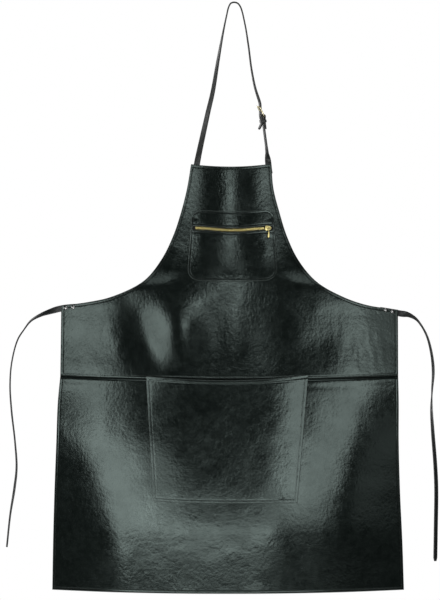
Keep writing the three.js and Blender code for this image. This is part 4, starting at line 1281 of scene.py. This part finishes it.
# zip slider and its pull, in the slider's own axes: along the zip, out of the chest, up
runner = {
    "x": 67.5, "turn": 14, "length": 13, "height": 10.4, "plate": (3.9, 5.2, 0.4),  # back, front, bevel
    "shield": [(-1, 0.72), (-0.6, 1), (0, 0.93), (0.55, 0.72), (1, 0.3)],  # shares of half sizes
    "flange": (10.6, 3.6, 0.9), "flangePlace": (-0.8, -3.2, 3.45), "flangeBevel": 0.2,
    "bridgeDeep": 8, "bridgeHalf": 4.2, "bridgeFoot": 4.4, "footOut": 0.2, "bend": 1.2, "bendDeep": 1.3,
    "wire": 0.8, "wireSides": 10, "wireFlat": (1.2, 1.0), "curveSteps": 5, "bridgeSteps": 6,
    "eyeHole": 1.2, "eyeOuter": 2.2, "eyeWidth": 1.8, "eyeShare": 0.96, "eyeCorner": 0.4, "eyeSteps": 32,
    "pullNeck": 0.9, "pullTop": 6, "pullWall": 1.1, "pullBevel": 0.3,
    "drop": [(1.638, -11), (2.1, -14.4), (1.512, -17.8), (0.35, -20)],  # half width, up
    "sharp": 0.9,
}


def runnerPlace():
    z = float(zipLine(runner["x"]))
    spot = Vector((runner["x"], float(drape(runner["x"], z)), z)) * mm
    return Matrix.Translation(spot) @ Matrix.Rotation(math.radians(runner["turn"]), 4, "Z")


def joinMeshes(name, meshes):
    work = bmesh.new()
    for mesh in meshes:
        work.from_mesh(mesh)
        bpy.data.meshes.remove(mesh)
    made = meshFrom(work, name)
    made.shade_smooth()
    return addObject(name, made)


def plateMesh(name, outline, back, front, bevel):  # flat plate from an outline in along and up
    work = bmesh.new()
    face = work.faces.new([work.verts.new((a * mm, -back * mm, u * mm)) for a, u in outline])
    grown = bmesh.ops.extrude_face_region(work, geom=[face])
    moved = [v for v in grown["geom"] if isinstance(v, bmesh.types.BMVert)]
    bmesh.ops.translate(work, verts=moved, vec=(0, -(front - back) * mm, 0))
    bmesh.ops.recalc_face_normals(work, faces=work.faces)
    sharp = [e for e in work.edges if len(e.link_faces) == 2 and e.calc_face_angle() > runner["sharp"]]
    roundEdges(work, sharp, bevel, 2)
    return meshFrom(work, name)


def takeMesh(piece):
    mesh = piece.data.copy()
    bpy.data.objects.remove(piece)
    return mesh


def makeSlider():
    half, tall = runner["length"] / 2, runner["height"] / 2
    shield = curveThrough([(half * a, tall * u) for a, u in runner["shield"]], runner["curveSteps"])
    outline = [tuple(p) for p in shield] + [(a, -u) for a, u in shield[::-1]]
    meshes = [plateMesh("runnerPlate", outline, *runner["plate"])]
    along, out, up = runner["flangePlace"]
    for side in (-1, 1):
        flange = bevelledBox("runnerFlange", runner["flange"], runner["flangeBevel"], 2)
        flange.transform(Matrix.Translation(Vector((along, out, side * up)) * mm))
        meshes.append(flange)
    deep, reach, bend = runner["bridgeDeep"], runner["bridgeHalf"], runner["bend"]
    leg = [(reach + runner["footOut"], -runner["bridgeFoot"], 0), (reach, runner["bendDeep"] - deep, 0),
           (reach - bend, -deep, 0)]
    arch = [(-a, out, up) for a, out, up in leg] + [(0, -deep, 0)] + leg[::-1]
    wire = roundSection(runner["wire"], runner["wireSides"]) * runner["wireFlat"]
    bridge = sweepPiece("runnerBridge", curveThrough(arch, runner["bridgeSteps"]), (0.0, 0.0, 1.0), wire)
    piece = joinMeshes("zipSlider", meshes + [takeMesh(bridge)])
    piece.data.transform(runnerPlace())
    dress(piece, zipBrass, ["zip_slider"])


def makePull():
    middle = (runner["eyeHole"] + runner["eyeOuter"]) / 2
    thick = (runner["eyeOuter"] - runner["eyeHole"]) * runner["eyeShare"]
    ring = np.insert(roundSection(middle, runner["eyeSteps"]), 0, 0, axis=1)
    band = flatSection(runner["eyeWidth"], thick, runner["eyeCorner"], 0.0)
    eye = sweepPiece("pullEye", ring, (1.0, 0.0, 0.0), band, True)
    neck, wall = runner["pullNeck"], runner["pullWall"] / 2
    side = [(neck, -middle), (neck, -runner["pullTop"])] + runner["drop"]
    drop = curveThrough(side, runner["curveSteps"])
    outline = [tuple(p) for p in drop[::-1]] + [(-a, u) for a, u in drop]
    tab = plateMesh("pullTab", outline, -wall, wall, runner["pullBevel"])
    piece = joinMeshes("zipPull", [takeMesh(eye), tab])
    piece.data.transform(runnerPlace() @ Matrix.Translation(Vector((0, -runner["bridgeDeep"], 0)) * mm))
    dress(piece, zipBrass, ["zip_pull"], body="pull")


makeSlider()
makePull()
print("zip slider and pull made")

# floor and light
studio = {
    "floorDown": 1760, "floorReach": 1700, "floorSides": 96, "floorColour": (0.80, 0.80, 0.79, 1),
    "floorNoise": 3.0, "floorRough": (0.5, 0.6),
    "backdrop": (1.0, 1.0, 1.0, 1), "gloom": (0.04, 0.043, 0.042, 1),
    "lights": [  # name, place, aim, width, height, roll, brightness
        ("stripLight", (0.0, -3.4, 0.26), (0.0, 0.0, -0.5), 0.40, 0.36, 0, 5.4),
        ("lowStrip", (0.02, -3.4, -0.05), (0.0, 0.0, -0.5), 0.18, 0.26, 0, 4.2),
        ("leftBox", (-1.5, -2.25, -1.22), (-0.25, 0.0, -0.9), 0.77, 1.19, 38, 4.4),
        ("leftSlant", (-0.76, -2.25, -1.15), (-0.08, 0.0, -0.93), 0.32, 0.82, 60, 1.9),
        ("rightSlant", (0.41, -2.25, -1.13), (0.05, 0.0, -0.93), 0.24, 0.60, -56, 2.3),
        ("leftTop", (-2.39, -3.0, -0.02), (-0.2, 0.0, -0.6), 1.3, 0.85, 0, 3.6),
        ("rightBox", (1.42, -3.0, -0.72), (0.15, 0.0, -0.8), 0.8, 2.1, -36, 3.5),
        ("lowBox", (-0.30, -2.4, -1.58), (0.0, 0.0, -1.05), 1.5, 0.3, 0, 4.6),
        ("rightTop", (2.6, -3.0, 0.2), (0.28, 0.0, -0.66), 1.05, 0.8, 0, 1.1),
        ("farRight", (2.6, -2.25, -1.25), (0.3, 0.0, -1.0), 1.0, 0.8, 0, 0.5),
        ("overhead", (0.0, -1.5, 1.5), (0.0, 0.0, -0.7), 2.4, 1.7, 0, 1.3),
        ("farLeft", (-3.2, 0.1, -0.2), (0.0, 0.0, -0.2), 1.0, 1.4, 0, 5.0),
        ("backLeft", (-1.9, 2.6, 0.2), (0.0, 0.0, -0.6), 1.2, 1.8, 0, 2.2),
        ("backRight", (1.9, 2.6, -0.2), (0.0, 0.0, -0.6), 1.2, 1.8, 0, 1.6),
    ],
}


def makeFloor():
    sides = studio["floorSides"]
    corners = [(0, 0, -studio["floorDown"])]
    corners += [(*spot, -studio["floorDown"]) for spot in roundSection(studio["floorReach"], sides)]
    floor = meshPiece("floor", corners, [(0, 1 + k, 1 + (k + 1) % sides) for k in range(sides)])
    material, tree, shader = openMaterial("paleFloor")
    cloud = noiseAt(tree, objectPlace(tree), studio["floorNoise"])
    rough = spread(tree, cloud, midBand, studio["floorRough"])
    fill(tree, shader, {"Base Color": studio["floorColour"], "Roughness": rough})
    floor.data.materials.append(material)


def makeLights():
    for name, place, aim, width, height, roll, bright in studio["lights"]:
        data = bpy.data.lights.new(name, "AREA")
        data.shape = "RECTANGLE"
        data.size = width
        data.size_y = height
        data.energy = bright * math.pi * width * height
        lamp = addObject(name, data)
        lamp.location = place
        facingAim = (Vector(aim) - Vector(place)).to_track_quat("-Z", "Y").to_matrix()
        lamp.rotation_euler = (facingAim @ Matrix.Rotation(math.radians(roll), 3, "Z")).to_euler()
        lamp.visible_camera = False


def makeWorld():  # white for the camera, near dark for reflections
    world = bpy.data.worlds.new("studio")
    world.use_nodes = True
    tree = world.node_tree
    tree.nodes.clear()
    seen = node(tree, "ShaderNodeLightPath").outputs["Is Camera Ray"]
    white = node(tree, "ShaderNodeBackground", {"Color": studio["backdrop"]}).outputs[0]
    dark = node(tree, "ShaderNodeBackground", {"Color": studio["gloom"]}).outputs[0]
    mixed = node(tree, "ShaderNodeMixShader", {0: seen, 1: dark, 2: white})
    node(tree, "ShaderNodeOutputWorld", {"Surface": mixed.outputs[0]})
    scene.world = world


makeFloor()
makeLights()
makeWorld()
print("studio ready")
